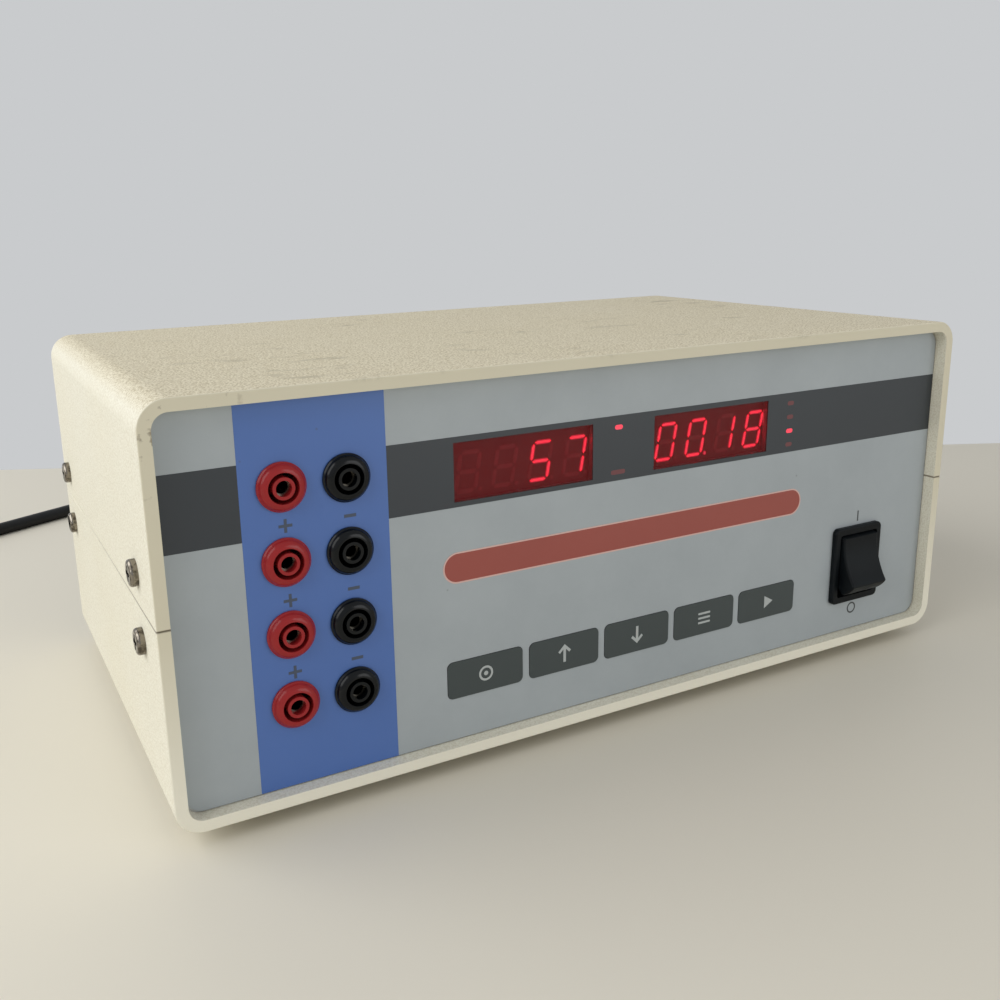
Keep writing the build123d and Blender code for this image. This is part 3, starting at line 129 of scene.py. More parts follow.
# the pits of the grain drawn darker, most of all on the top: grime that stays in them, and painted shade
# that stands in for the shading of the grain's relief
pits = add(tree, "ShaderNodeMapRange", {"Value": grain.outputs[0], "From Min": 0.54, "From Max": 0.42})
pit_grime_and_shade = add(tree, "ShaderNodeMath", {0: pits.outputs[0], 1: grained.outputs[0]}, operation="MULTIPLY")
pit_depth = add(tree, "ShaderNodeMapRange", {"Value": upward.outputs[0], "To Min": 0.3, "To Max": 0.95})
pit_grime_and_shade = add(tree, "ShaderNodeMath", {0: pit_grime_and_shade.outputs[0], 1: pit_depth.outputs[0]},
                operation="MULTIPLY")
# scuffs from things put on the top: smudges about 10 mm long that catch only the crests of the grain
stroke_place = add(tree, "ShaderNodeMapping", {"Vector": place, "Rotation": (0, 0, 0.35),
                                               "Scale": (0.5, 1.0, 0.5)})
strokes = add(tree, "ShaderNodeTexNoise", {"Vector": stroke_place.outputs[0], "Scale": 1 / (8 * mm),
                                           "Detail": 6.0, "Roughness": 0.65})
smudged = add(tree, "ShaderNodeMapRange", {"Value": strokes.outputs[0], "From Min": 0.55, "From Max": 0.70})
crests = add(tree, "ShaderNodeMapRange", {"Value": grain.outputs[0], "From Min": 0.40, "From Max": 0.52})
flat_top = add(tree, "ShaderNodeMapRange", {"Value": where.outputs["Z"],
                                           "From Min": shell_high.z - 1.5 * mm,
                                           "From Max": shell_high.z - 0.3 * mm})
used_most = add(tree, "ShaderNodeMapRange", {"Value": cloud.outputs[0], "From Min": 0.5, "From Max": 0.6,
                                            "To Max": 0.75})
scuff = smudged
for limit in (crests, flat_top, used_most):
    scuff = add(tree, "ShaderNodeMath", {0: scuff.outputs[0], 1: limit.outputs[0]}, operation="MULTIPLY")
# grime in the seam, darkest at the front
off_seam = add(tree, "ShaderNodeMath", {0: where.outputs["Z"], 1: seam_z}, operation="SUBTRACT")
off_seam = add(tree, "ShaderNodeMath", {0: off_seam.outputs[0]}, operation="ABSOLUTE")
in_seam = add(tree, "ShaderNodeMapRange", {"Value": off_seam.outputs[0], "From Min": 0.45 * mm,
                                          "From Max": 0.15 * mm})
ahead = add(tree, "ShaderNodeMapRange", {"Value": where.outputs["Y"], "From Min": 60 * mm,
                                        "From Max": front_y, "To Min": 0.1, "To Max": 0.85})
seam_share = add(tree, "ShaderNodeMath", {0: in_seam.outputs[0], 1: ahead.outputs[0]}, operation="MULTIPLY")
# knocks at the upper left front corner, where the case has been pushed against things
knocked_corner = (shell_low.x + 7 * mm, front_y, shell_high.z - 6 * mm)
knocked = add(tree, "ShaderNodeVectorMath", {0: place, 1: knocked_corner}, operation="DISTANCE")
near_corner = add(tree, "ShaderNodeMapRange", {"Value": knocked.outputs["Value"], "From Min": 26 * mm,
                                              "From Max": 5 * mm})
chips = add(tree, "ShaderNodeTexNoise", {"Vector": place, "Scale": 1 / (3.0 * mm), "Detail": 3.0})
chip_share = add(tree, "ShaderNodeMapRange", {"Value": chips.outputs[0], "From Min": 0.60, "From Max": 0.68})
for limit in (near_corner, rim_share):
    chip_share = add(tree, "ShaderNodeMath", {0: chip_share.outputs[0], 1: limit.outputs[0]},
                     operation="MULTIPLY")
# a few specks of dirt, under 1 mm across
specks = add(tree, "ShaderNodeTexVoronoi", {"Vector": place, "Scale": 1 / (26 * mm)})
speck_share = add(tree, "ShaderNodeMapRange", {"Value": specks.outputs["Distance"], "From Min": 0.022,
                                              "From Max": 0.012, "To Max": 0.6})
# each of these lies over the ones before it
for share, code in ((pit_grime_and_shade, "#AFA17E"), (scuff, "#7C7560"), (seam_share, "#5E5138"),
                    (chip_share, "#6F5F49"), (speck_share, "#7E7258")):
    colour = add(tree, "ShaderNodeMix", {0: share.outputs[0], 6: colour.outputs[2], 7: linear(code)},
                 data_type="RGBA")
tree.links.new(colour.outputs[2], shader.inputs["Base Color"])
matt = add(tree, "ShaderNodeMapRange", {"Value": cloud.outputs[0], "To Min": 0.48, "To Max": 0.64})
tree.links.new(matt.outputs[0], shader.inputs["Roughness"])
relief = add(tree, "ShaderNodeBump", {"Strength": 1.0, "Distance": 0.18 * mm})
# the round edges are worn smoother than the flat sides, and the rims have no grain
rounded = add(tree, "ShaderNodeMath", {0: facing.outputs["X"], 1: facing.outputs["Z"]}, operation="MULTIPLY")
rounded = add(tree, "ShaderNodeMath", {0: rounded.outputs[0]}, operation="ABSOLUTE")
worn = add(tree, "ShaderNodeMapRange", {"Value": rounded.outputs[0], "From Min": 0.04, "From Max": 0.3,
                                       "To Min": 1.0, "To Max": 0.4})
relief_height = grain
for limit in (grained, worn):
    relief_height = add(tree, "ShaderNodeMath", {0: relief_height.outputs[0], 1: limit.outputs[0]},
                        operation="MULTIPLY")
tree.links.new(relief_height.outputs[0], relief.inputs["Height"])
tree.links.new(relief.outputs[0], shader.inputs["Normal"])
dress(ivory_abs, "lower_shell", "upper_shell")


# Feet. Four moulded rubber feet under the floor of the case, each held by a self-tapping screw
# that sits deep in it.
def mottled_finish(name, size, detail, code, shade, spots=None, satin=None, relief=None, stretch=None,
                   **shader_values):
    """A finish that varies between two colours over a size in mm, and in gloss and relief with them.

    The spots are the range of the mottle over which the colour changes and how far it goes. The
    satin is a range of roughness, the relief a strength and a height in mm, and the stretch a
    scale along each axis that draws the mottle out into lines.
    """
    finish, tree, shader, place = new_finish(name, **shader_values)
    if stretch:
        place = add(tree, "ShaderNodeMapping", {"Vector": place, "Scale": stretch}).outputs[0]
    mottle = add(tree, "ShaderNodeTexNoise", {"Vector": place, "Scale": 1 / (size * mm), "Detail": detail})
    share = mottle
    if spots:
        share = add(tree, "ShaderNodeMapRange", {"Value": mottle.outputs[0], "From Min": spots[0],
                                                "From Max": spots[1], "To Max": spots[2]})
    colour = add(tree, "ShaderNodeMix", {0: share.outputs[0], 6: linear(code), 7: linear(shade)},
                 data_type="RGBA")
    tree.links.new(colour.outputs[2], shader.inputs["Base Color"])
    if satin:
        gloss = add(tree, "ShaderNodeMapRange", {"Value": mottle.outputs[0], "To Min": satin[0],
                                                "To Max": satin[1]})
        tree.links.new(gloss.outputs[0], shader.inputs["Roughness"])
    if relief:
        bump = add(tree, "ShaderNodeBump", {"Strength": relief[0], "Distance": relief[1] * mm,
                                            "Height": mottle.outputs[0]})
        tree.links.new(bump.outputs[0], shader.inputs["Normal"])
    return finish


# matt black with dust in spots
black_rubber = mottled_finish("moulded_rubber_black", 2.5, 5.0, "#171817", "#3A3A36",
                              spots=(0.4, 0.8, 0.5), relief=(0.3, 0.05), Roughness=0.85, IOR=1.52)
dress(black_rubber, "foot_front_left", "foot_front_right", "foot_rear_left", "foot_rear_right")


# Screws and tie plates. Pan-head screws with a cross recess, nickel plated and tarnished in spots,
# go through both walls into steel plates that bridge the seam. The foot screws and the nuts are
# zinc plated.

# nickel plating, drawn darker than bright nickel as a painted reflection of dim surroundings, and tarnished
# to grey brown in spots
nickel_steel = mottled_finish("nickel_plated_steel", 1.6, 4.0, "#8D867B", "#5A544B",
                              spots=(0.45, 0.6, 1.0), satin=(0.08, 0.28), Metallic=1.0)
dress(nickel_steel, "side_screws_left", "side_screws_right")

# pale grey metal with small crystals in the zinc
zinc_steel, tree, shader, place = new_finish("zinc_plated_steel", Metallic=1.0)
spangle = add(tree, "ShaderNodeTexVoronoi", {"Vector": place, "Scale": 1 / (1.8 * mm)})
spread = spangle.outputs["Distance"]
satin = add(tree, "ShaderNodeMapRange", {"Value": spread, "To Min": 0.28, "To Max": 0.45})
colour = add(tree, "ShaderNodeMix", {0: spread, 6: linear("#BFC2C4"), 7: linear("#9DA0A2")},
             data_type="RGBA")
tree.links.new(colour.outputs[2], shader.inputs["Base Color"])
tree.links.new(satin.outputs[0], shader.inputs["Roughness"])
dress(zinc_steel, "foot_screws", "tie_plates_left", "tie_plates_right", "board_studs", "socket_nuts_red",
      "socket_nuts_black")


# Front panel. A sheet of satin anodised aluminium stands in grooves of both halves and carries
# everything on the front. Only its edges and back show once the overlay is on.

# fine lines of brushing along the sheet, softened by the anodising; drawn at 0.6 mm so that they show
anodised = mottled_finish("satin_anodised_aluminium", 0.6, 3.0, "#C9CBCC", "#AEB1B3", satin=(0.3, 0.5),
                          stretch=(0.02, 1.0, 1.0), Metallic=1.0)
dress(anodised, "front_panel")


# Overlay. A screen-printed polycarbonate film, light grey with a very fine velvet surface, is
# glued over the aluminium. It has cutouts for the sockets, the two windows, the keys and the switch.
overlay_low, overlay_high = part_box("panel_overlay")
face_y = overlay_low.y


def film_finish(name, code, shade, roughness=0.42):
    """Ink under the film's velvet surface, with faint clouds, a few specks and darker cut edges."""
    finish, tree, shader, place = new_finish(name, IOR=1.58, Roughness=roughness)
    cloud = add(tree, "ShaderNodeTexNoise", {"Vector": place, "Scale": 1 / (30 * mm), "Detail": 7.0,
                                             "Roughness": 0.65})
    colour = add(tree, "ShaderNodeMix", {0: cloud.outputs[0], 6: linear(code), 7: linear(shade)},
                 data_type="RGBA")
    specks = add(tree, "ShaderNodeTexVoronoi", {"Vector": place, "Scale": 1 / (17 * mm)})
    speck = add(tree, "ShaderNodeMapRange", {"Value": specks.outputs["Distance"], "From Min": 0.028,
                                            "From Max": 0.016, "To Max": 0.35})
    colour = add(tree, "ShaderNodeMix", {0: speck.outputs[0], 6: colour.outputs[2], 7: linear("#4C4E4C")},
                 data_type="RGBA")
    normal = add(tree, "ShaderNodeNewGeometry").outputs["Normal"]
    facing = add(tree, "ShaderNodeSeparateXYZ", {"Vector": normal})
    toward_front = add(tree, "ShaderNodeMath", {0: facing.outputs["Y"]}, operation="ABSOLUTE")
    cut_edge = add(tree, "ShaderNodeMath", {0: toward_front.outputs[0], 1: 0.5}, operation="LESS_THAN")
    colour = add(tree, "ShaderNodeMix", {0: cut_edge.outputs[0], 6: colour.outputs[2], 7: linear("#3A3D3F")},
                 data_type="RGBA")
    tree.links.new(colour.outputs[2], shader.inputs["Base Color"])
    # velvet of about 0.1 mm, drawn at 0.5 mm so that it shows
    velvet = add(tree, "ShaderNodeTexNoise", {"Vector": place, "Scale": 1 / (0.5 * mm), "Detail": 2.0})
    relief = add(tree, "ShaderNodeBump", {"Strength": 0.12, "Distance": 0.03 * mm,
                                          "Height": velvet.outputs[0]})
    tree.links.new(relief.outputs[0], shader.inputs["Normal"])
    return finish


grey_film = film_finish("polycarbonate_film_light_grey", "#ADB5B9", "#99A1A6")
dress(grey_film, "panel_overlay")


# Print on the overlay: a dark band for the displays, a blue field for the sockets, a red bar with
# a pale outline, and the polarity and switch marks. Each ink is a layer 0.04 mm thick, and 0.03 mm
# where it lies on another ink.
left_x, base_z = shell_low.x, shell_low.z
INK_THICKNESS = 0.04 * mm
OVERPRINT_THICKNESS = 0.03 * mm


def points_of(geometry):
    """The vertices in what a bmesh operator returns."""
    return [part for part in geometry if isinstance(part, bmesh.types.BMVert)]


def finished_piece(drawing, name, finishes, body, smooth=False):
    """An object from a bmesh that is drawn in place. It rides on a body."""
    bmesh.ops.remove_doubles(drawing, verts=drawing.verts, dist=1e-7)
    bmesh.ops.recalc_face_normals(drawing, faces=drawing.faces)
    mesh = bpy.data.meshes.new(name)
    drawing.to_mesh(mesh)
    drawing.free()
    for finish in finishes:
        mesh.materials.append(finish)
    for face in mesh.polygons:
        face.use_smooth = smooth
    piece = bpy.data.objects.new(name, mesh)
    bpy.context.scene.collection.objects.link(piece)
    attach(piece, body)
    return piece


def plate(drawing, x, z, width, height, corner=0.0, steps=8):
    """Adds a flat rectangle, in mm from the case's left side and underside, with round corners."""
    made = bmesh.ops.create_grid(drawing, x_segments=1, y_segments=1, size=0.5)["verts"]
    bmesh.ops.scale(drawing, vec=(width, height, 1), verts=made)
    bmesh.ops.translate(drawing, vec=(x, z, 0), verts=made)
    if corner:
        bmesh.ops.bevel(drawing, geom=made, offset=corner, offset_type="OFFSET", segments=steps,
                        profile=0.5, affect="VERTICES", material=-1)


def disc(drawing, x, z, radius, steps=32):
    """Adds a flat disc, in mm from the case's left side and underside."""
    made = bmesh.ops.create_circle(drawing, cap_ends=True, radius=radius, segments=steps)["verts"]
    bmesh.ops.translate(drawing, vec=(x, z, 0), verts=made)


def ring(drawing, x, z, outer, inner, steps=40):
    """Adds a flat ring, in mm from the case's left side and underside."""
    made = bmesh.ops.create_circle(drawing, cap_ends=False, radius=outer, segments=steps)["verts"]
    edges = list({e for v in made for e in v.link_edges})
    inside = points_of(bmesh.ops.extrude_edge_only(drawing, edges=edges)["geom"])
    bmesh.ops.scale(drawing, vec=(inner / outer, inner / outer, 1), verts=inside)
    bmesh.ops.translate(drawing, vec=(x, z, 0), verts=made + inside)


def layer(drawing, name, finishes, body="case", back=face_y, thickness=INK_THICKNESS):
    """Stands a flat drawing in mm up on the panel and gives it a thickness towards the front."""
    bmesh.ops.scale(drawing, vec=(mm, mm, mm), verts=drawing.verts)
    stand_up = Matrix.Rotation(math.pi / 2, 3, "X")
    bmesh.ops.rotate(drawing, cent=(0, 0, 0), matrix=stand_up, verts=drawing.verts)
    bmesh.ops.translate(drawing, vec=(left_x, back, base_z), verts=drawing.verts)
    grown = bmesh.ops.extrude_face_region(drawing, geom=drawing.faces[:], use_keep_orig=True)["geom"]
    bmesh.ops.translate(drawing, vec=(0, -thickness, 0), verts=points_of(grown))
    finished_piece(drawing, name, finishes, body)


# flat inks printed under the film, so they share its velvet surface
band_ink = film_finish("screen_ink_dark_grey", "#262E35", "#232A31")
blue_ink = film_finish("screen_ink_blue", "#4A6FB4", "#466AAD")
red_ink = film_finish("screen_ink_red", "#9B463B", "#944137")
pale_ink = film_finish("screen_ink_pale_pink", "#D9B4AC", "#D0AAA2")
mark_ink = film_finish("screen_ink_charcoal", "#383C3E", "#35393B")
blue_mark_ink = film_finish("screen_ink_charcoal_on_blue", "#3D4A5F", "#3A465A")

panel_left, panel_right = (overlay_low.x - left_x) / mm, (overlay_high.x - left_x) / mm
panel_bottom, panel_top = (overlay_low.z - base_z) / mm, (overlay_high.z - base_z) / mm
BAND_LOW, BAND_HIGH = 79.16, 100.52
FIELD_LEFT, FIELD_RIGHT = 25.12, 67.82
SOCKETS = [f"socket_{colour}_{n}" for colour in ("red", "black") for n in range(1, 5)]
SOCKET_HOLE_RADIUS = 6.3
windows = []
for side in ("left", "right"):
    low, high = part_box(f"display_filter_{side}")
    windows.append(((low.x - left_x) / mm, (high.x - left_x) / mm,
                    (low.z - base_z) / mm, (high.z - base_z) / mm))

band = bmesh.new()
for start, end in ((panel_left, FIELD_LEFT), (FIELD_RIGHT, panel_right)):
    plate(band, (end + start) / 2, (BAND_LOW + BAND_HIGH) / 2, end - start, BAND_HIGH - BAND_LOW)
for window in windows:
    for place_on, way in (((window[0], 0, 0), (1, 0, 0)), ((window[1], 0, 0), (1, 0, 0)),
                          ((0, window[2], 0), (0, 1, 0)), ((0, window[3], 0), (0, 1, 0))):
        bmesh.ops.bisect_plane(band, geom=band.verts[:] + band.edges[:] + band.faces[:], plane_co=place_on,
                               plane_no=way)
    cut = [f for f in band.faces if window[0] < f.calc_center_median().x < window[1]
           and window[2] < f.calc_center_median().y < window[3]]
    bmesh.ops.delete(band, geom=cut, context="FACES")
layer(band, "display_band", [band_ink])

field = bmesh.new()
plate(field, (FIELD_LEFT + FIELD_RIGHT) / 2, (panel_bottom + panel_top) / 2, FIELD_RIGHT - FIELD_LEFT,
      panel_top - panel_bottom)
bmesh.ops.delete(field, geom=field.faces[:], context="FACES_ONLY")
for name in SOCKETS:
    middle = sum(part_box(name), Vector()) / 2
    hole = bmesh.ops.create_circle(field, cap_ends=False, radius=SOCKET_HOLE_RADIUS, segments=40)["verts"]
    bmesh.ops.translate(field, vec=((middle.x - left_x) / mm, (middle.z - base_z) / mm, 0), verts=hole)
bmesh.ops.triangle_fill(field, use_beauty=True, use_dissolve=False, edges=field.edges[:])
layer(field, "socket_field", [blue_ink])

BAR_X, BAR_Z = 157.3, 60.25
BAR_LENGTH, BAR_HEIGHT = 145.4, 9.9
BAR_CORNER, BAR_OUTLINE = 4.94, 0.5
bar = bmesh.new()
plate(bar, BAR_X, BAR_Z, BAR_LENGTH, BAR_HEIGHT, corner=BAR_CORNER, steps=16)
for face in bmesh.ops.inset_individual(bar, faces=bar.faces[:], thickness=BAR_OUTLINE)["faces"]:
    face.material_index = 1
layer(bar, "name_bar", [red_ink, pale_ink])

# a plus, of a bar and two arms, under each red socket and a minus under each black one, but the last
PLUS_X, PLUS_SIZE, PLUS_LINE = 37.3, 3.9, 0.85
MINUS_X, MINUS_SIZE, MINUS_LINE = 56.1, 3.6, 0.95
MARK_ROWS = (82.0, 60.4, 38.9)
arm = (PLUS_SIZE - PLUS_LINE) / 2
polarity = bmesh.new()
for z in MARK_ROWS:
    plate(polarity, PLUS_X, z, PLUS_SIZE, PLUS_LINE)
    for way in (1, -1):
        plate(polarity, PLUS_X, z + way * (PLUS_LINE + arm) / 2, PLUS_LINE, arm)
    plate(polarity, MINUS_X, z, MINUS_SIZE, MINUS_LINE)
layer(polarity, "polarity_marks", [blue_mark_ink], back=face_y - INK_THICKNESS,
      thickness=OVERPRINT_THICKNESS)

SWITCH_MARK_X = 260.6
LINE_MARK_Z, LINE_MARK_WIDTH, LINE_MARK_HEIGHT = 49.5, 0.6, 4.1
RING_MARK_Z, RING_MARK_OUTER, RING_MARK_INNER = 12.35, 2.25, 1.65
switch_marks = bmesh.new()
plate(switch_marks, SWITCH_MARK_X, LINE_MARK_Z, LINE_MARK_WIDTH, LINE_MARK_HEIGHT)
ring(switch_marks, SWITCH_MARK_X, RING_MARK_Z, RING_MARK_OUTER, RING_MARK_INNER)
layer(switch_marks, "switch_marks", [mark_ink])


# Sockets. Eight shrouded 4 mm sockets, moulded in glossy red and black polyamide, are held by
# nuts behind the panel. Deep inside each is a contact tube of nickel-plated brass.

# glossy moulded plastic, with the faint ripple of the mould and duller in patches
for colour_name, code, shade in (("red", "#A02A2C", "#952527"), ("black", "#0B0F12", "#07090C")):
    polyamide = mottled_finish(f"polyamide_{colour_name}", 2.2, 2.0, code, shade, satin=(0.1, 0.26),
                               relief=(0.15, 0.05), IOR=1.53, Specular_IOR_Level=0.22)
    dress(polyamide, *[f"socket_{colour_name}_{n}" for n in range(1, 5)])

# yellowish metal with turning marks round the tube, drawn at 0.5 mm so that they show, and drawn darker than
# bright nickel as painted shade for the contacts deep in their sockets
nickel_brass = mottled_finish("nickel_plated_brass", 0.5, 2.0, "#8C877C", "#605C53",
                              satin=(0.08, 0.22), stretch=(0.1, 1.0, 0.1), Metallic=1.0)
dress(nickel_brass, *[f"contact_{c}_{n}" for c in ("red", "black") for n in range(1, 5)], "inlet_pins")


# Displays. Two four-digit seven-segment modules stand behind windows of dark red acrylic. The
# segments are light pipes 13.2 mm high that lean 10 degrees; lit ones glow, the others only show.

# matt dark red face of the module, faintly speckled
module_plastic = mottled_finish("module_face_dark_red", 0.7, 3.0, "#64191F", "#6C1D23", Roughness=0.6,
                                IOR=1.5)
dress(module_plastic, "display_module_left", "display_module_right")

# clear dark red sheet, polished and a little smeared by wiping
red_acrylic, tree, shader, place = new_finish("tinted_acrylic_dark_red", IOR=1.49, Alpha=0.4,
                                              Specular_IOR_Level=0.3)
depth_tint = add(tree, "ShaderNodeTexNoise", {"Vector": place, "Scale": 1 / (30 * mm), "Detail": 2.0})
colour = add(tree, "ShaderNodeMix", {0: depth_tint.outputs[0], 6: linear("#82181C"), 7: linear("#7A161A")},
             data_type="RGBA")
tree.links.new(colour.outputs[2], shader.inputs["Base Color"])
smears = add(tree, "ShaderNodeTexNoise", {"Vector": place, "Scale": 1 / (6 * mm), "Detail": 3.0})
polished = add(tree, "ShaderNodeMapRange", {"Value": smears.outputs[0], "To Min": 0.1, "To Max": 0.3})
tree.links.new(polished.outputs[0], shader.inputs["Roughness"])
dress(red_acrylic, "display_filter_left", "display_filter_right")


def segment_finish(name, code, glow, strength):
    """Diffusing plastic of a segment, milky in its colour, that glows when it is given a strength."""
    finish, tree, shader, place = new_finish(name, Roughness=0.5, Emission_Strength=strength)
    milky = add(tree, "ShaderNodeTexNoise", {"Vector": place, "Scale": 1 / (1.5 * mm), "Detail": 2.0})
    colour = add(tree, "ShaderNodeMix", {0: milky.outputs[0], 6: linear(code), 7: linear(glow)},
                 data_type="RGBA")
    tree.links.new(colour.outputs[2], shader.inputs["Base Color"])
    if strength:
        tree.links.new(colour.outputs[2], shader.inputs["Emission Color"])
    return finish


lit_segment = segment_finish("segment_lit_red", "#E81C38", "#F02440", 0.9)
lit_core = segment_finish("segment_lit_core", "#FF3C58", "#FF4A66", 1.3)
dark_segment = segment_finish("segment_unlit", "#A23A42", "#9A343C", 0.0)

DIGIT_WIDTH, DIGIT_HEIGHT, DIGIT_PITCH = 8.0, 13.2, 12.7
DIGIT_LEAN = math.radians(10)
SEGMENT_WIDTH, SEGMENT_GAP, SEGMENT_THICKNESS = 1.4, 0.6, 0.15 * mm
CORE_INSET = 0.28
POINT_X, POINT_Z, POINT_RADIUS = 4.1, -5.9, 0.7
ROW_DROP = 0.9
SEGMENTS_OF = {"0": "abcdef", "1": "bc", "5": "acdfg", "7": "abc", "8": "abcdefg", " ": ""}
reach_x, reach_z = (DIGIT_WIDTH - SEGMENT_WIDTH) / 2, (DIGIT_HEIGHT - SEGMENT_WIDTH) / 2
segment_places = {
    "a": (0, reach_z, 0), "g": (0, 0, 0), "d": (0, -reach_z, 0),
    "f": (-reach_x, reach_z / 2, 1), "b": (reach_x, reach_z / 2, 1),
    "e": (-reach_x, -reach_z / 2, 1), "c": (reach_x, -reach_z / 2, 1),
}


def draw_segment(drawing, name, x, z):
    """Adds one segment of a digit: a bar with pointed ends that leans with the digit."""
    off_x, off_z, upright = segment_places[name]
    length = (reach_z if upright else 2 * reach_x) - SEGMENT_GAP
    made = bmesh.ops.create_grid(drawing, x_segments=1, y_segments=1, size=0.5)["verts"]
    bmesh.ops.scale(drawing, vec=(length, SEGMENT_WIDTH, 1), verts=made)
    corners = bmesh.ops.bevel(drawing, geom=made, offset=0.49 * SEGMENT_WIDTH, offset_type="OFFSET",
                              segments=1, profile=0.5, affect="VERTICES", material=-1)["verts"]
    if upright:
        on_end = Matrix.Rotation(math.pi / 2, 3, "Z")
        bmesh.ops.rotate(drawing, cent=(0, 0, 0), matrix=on_end, verts=corners)
    bmesh.ops.translate(drawing, vec=(off_x, off_z, 0), verts=corners)
    lean = Matrix.Identity(4)
    lean[0][1] = math.tan(DIGIT_LEAN)
    bmesh.ops.transform(drawing, matrix=lean, verts=corners)
    bmesh.ops.translate(drawing, vec=(x, z, 0), verts=corners)


module_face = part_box("display_module_left")[0].y
for side, window, shown, point_after, shift in (
    ("left", windows[0], "  57", None, 0.5), ("right", windows[1], "0018", 1, 1.4),
):
    lit, dark = bmesh.new(), bmesh.new()
    for place_in_row, figure in enumerate(shown):
        x = (window[0] + window[1]) / 2 + shift + (place_in_row - 1.5) * DIGIT_PITCH
        z = (window[2] + window[3]) / 2 - ROW_DROP
        for name in segment_places:
            draw_segment(lit if name in SEGMENTS_OF[figure] else dark, name, x, z)
        disc(lit if place_in_row == point_after else dark, x + POINT_X, z + POINT_Z, POINT_RADIUS,
             steps=20)
    cores = lit.faces[:]
    edges_round = bmesh.ops.inset_individual(lit, faces=cores, thickness=CORE_INSET)["faces"]
    for face in cores:
        face.material_index = 1
    for face in edges_round:
        face.material_index = 0
    layer(lit, f"lit_segments_{side}", [lit_segment, lit_core], back=module_face,
          thickness=SEGMENT_THICKNESS)
    layer(dark, f"unlit_segments_{side}", [dark_segment], back=module_face,
          thickness=SEGMENT_THICKNESS)


# Indicators. Beside each window the film has small translucent lozenges over indicator lamps, one
# lit in each group.
lit_lamp = segment_finish("indicator_lit_red", "#D83448", "#E84458", 0.7)
dark_lamp = film_finish("indicator_unlit", "#6E3438", "#683135")
LOZENGE_WIDTH, LOZENGE_HEIGHT, LOZENGE_CORNER = 3.0, 1.5, 0.72
WIDE_LOZENGE_WIDTH = 5.6
lit_lozenges, dark_lozenges = bmesh.new(), bmesh.new()
for drawing, x, z, width in (
    (lit_lozenges, 148.3, 96.7, LOZENGE_WIDTH), (dark_lozenges, 148.2, 82.0, WIDE_LOZENGE_WIDTH),
    (dark_lozenges, 222.4, 96.8, LOZENGE_WIDTH), (dark_lozenges, 222.4, 91.9, LOZENGE_WIDTH),
    (lit_lozenges, 222.4, 86.9, LOZENGE_WIDTH), (dark_lozenges, 222.4, 82.0, LOZENGE_WIDTH),
):
    plate(drawing, x, z, width, LOZENGE_HEIGHT, corner=LOZENGE_CORNER, steps=6)
for drawing, name, lamp in ((lit_lozenges, "indicators_lit", lit_lamp),
                            (dark_lozenges, "indicators_unlit", dark_lamp)):
    layer(drawing, name, [lamp], back=face_y - INK_THICKNESS, thickness=OVERPRINT_THICKNESS)


# Display board. Glass-fibre laminate with green solder mask behind the panel, on studs, with a
# push switch behind each key.

# glossy green with paler lines where the solder mask covers copper tracks
laminate, tree, shader, place = new_finish("glass_epoxy_laminate_green", Roughness=0.35, IOR=1.55)
tracks = add(tree, "ShaderNodeTexBrick", {"Vector": place, "Scale": 1 / (18 * mm), "Mortar Size": 0.03,
                                         "Color1": linear("#1F5A34"), "Color2": linear("#245F3A"),
                                         "Mortar": linear("#3B7A4C")})
tree.links.new(tracks.outputs["Color"], shader.inputs["Base Color"])
weave = add(tree, "ShaderNodeTexNoise", {"Vector": place, "Scale": 1 / (0.9 * mm), "Detail": 2.0})
relief = add(tree, "ShaderNodeBump", {"Strength": 0.1, "Distance": 0.03 * mm, "Height": weave.outputs[0]})
tree.links.new(relief.outputs[0], shader.inputs["Normal"])
dress(laminate, "display_board")

# plain black plastic of the push switches, a little mottled
switch_nylon = mottled_finish("moulded_nylon_black", 2.0, 2.0, "#1C1D1F", "#26272A", Roughness=0.5,
                              IOR=1.53)
dress(switch_nylon, "key_switches")


# Keys. Five pads of dark grey polyester in windows of the overlay. Their signs are printed in
# light grey: a ring for choosing, two arrows, three lines for the list and a triangle for start.
key_film = film_finish("polyester_key_dark_grey", "#343E3F", "#303A3B", roughness=0.5)
sign_ink = film_finish("screen_ink_light_grey", "#B3B9B9", "#ADB3B3")
key_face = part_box("key_1")[0].y
RING_SIGN_OUTER, RING_SIGN_INNER, DOT_RADIUS = 2.5, 1.8, 0.75
LIST_LINE_LENGTH, LIST_LINE_WIDTH, LIST_LINE_PITCH = 5.4, 0.75, 1.7
TRIANGLE_RADIUS, TRIANGLE_SHIFT = 2.7, 0.3
half_arrow = ((0, 3.1), (2.45, 0.75), (1.8, 0.05), (0.5, 1.35), (0.5, -3.1), (0, -3.1))


def arrow(drawing, x, z, way):
    """Adds an arrow with a stem and an open head, pointing up for way 1 and down for way -1."""
    half = [drawing.verts.new((across, up, 0)) for across, up in half_arrow]
    face = drawing.faces.new(half)
    bmesh.ops.mirror(drawing, geom=half + [face], axis="X", merge_dist=1e-5)
    bmesh.ops.scale(drawing, vec=(1, way, 1), verts=drawing.verts)
    bmesh.ops.translate(drawing, vec=(x, z, 0), verts=drawing.verts)


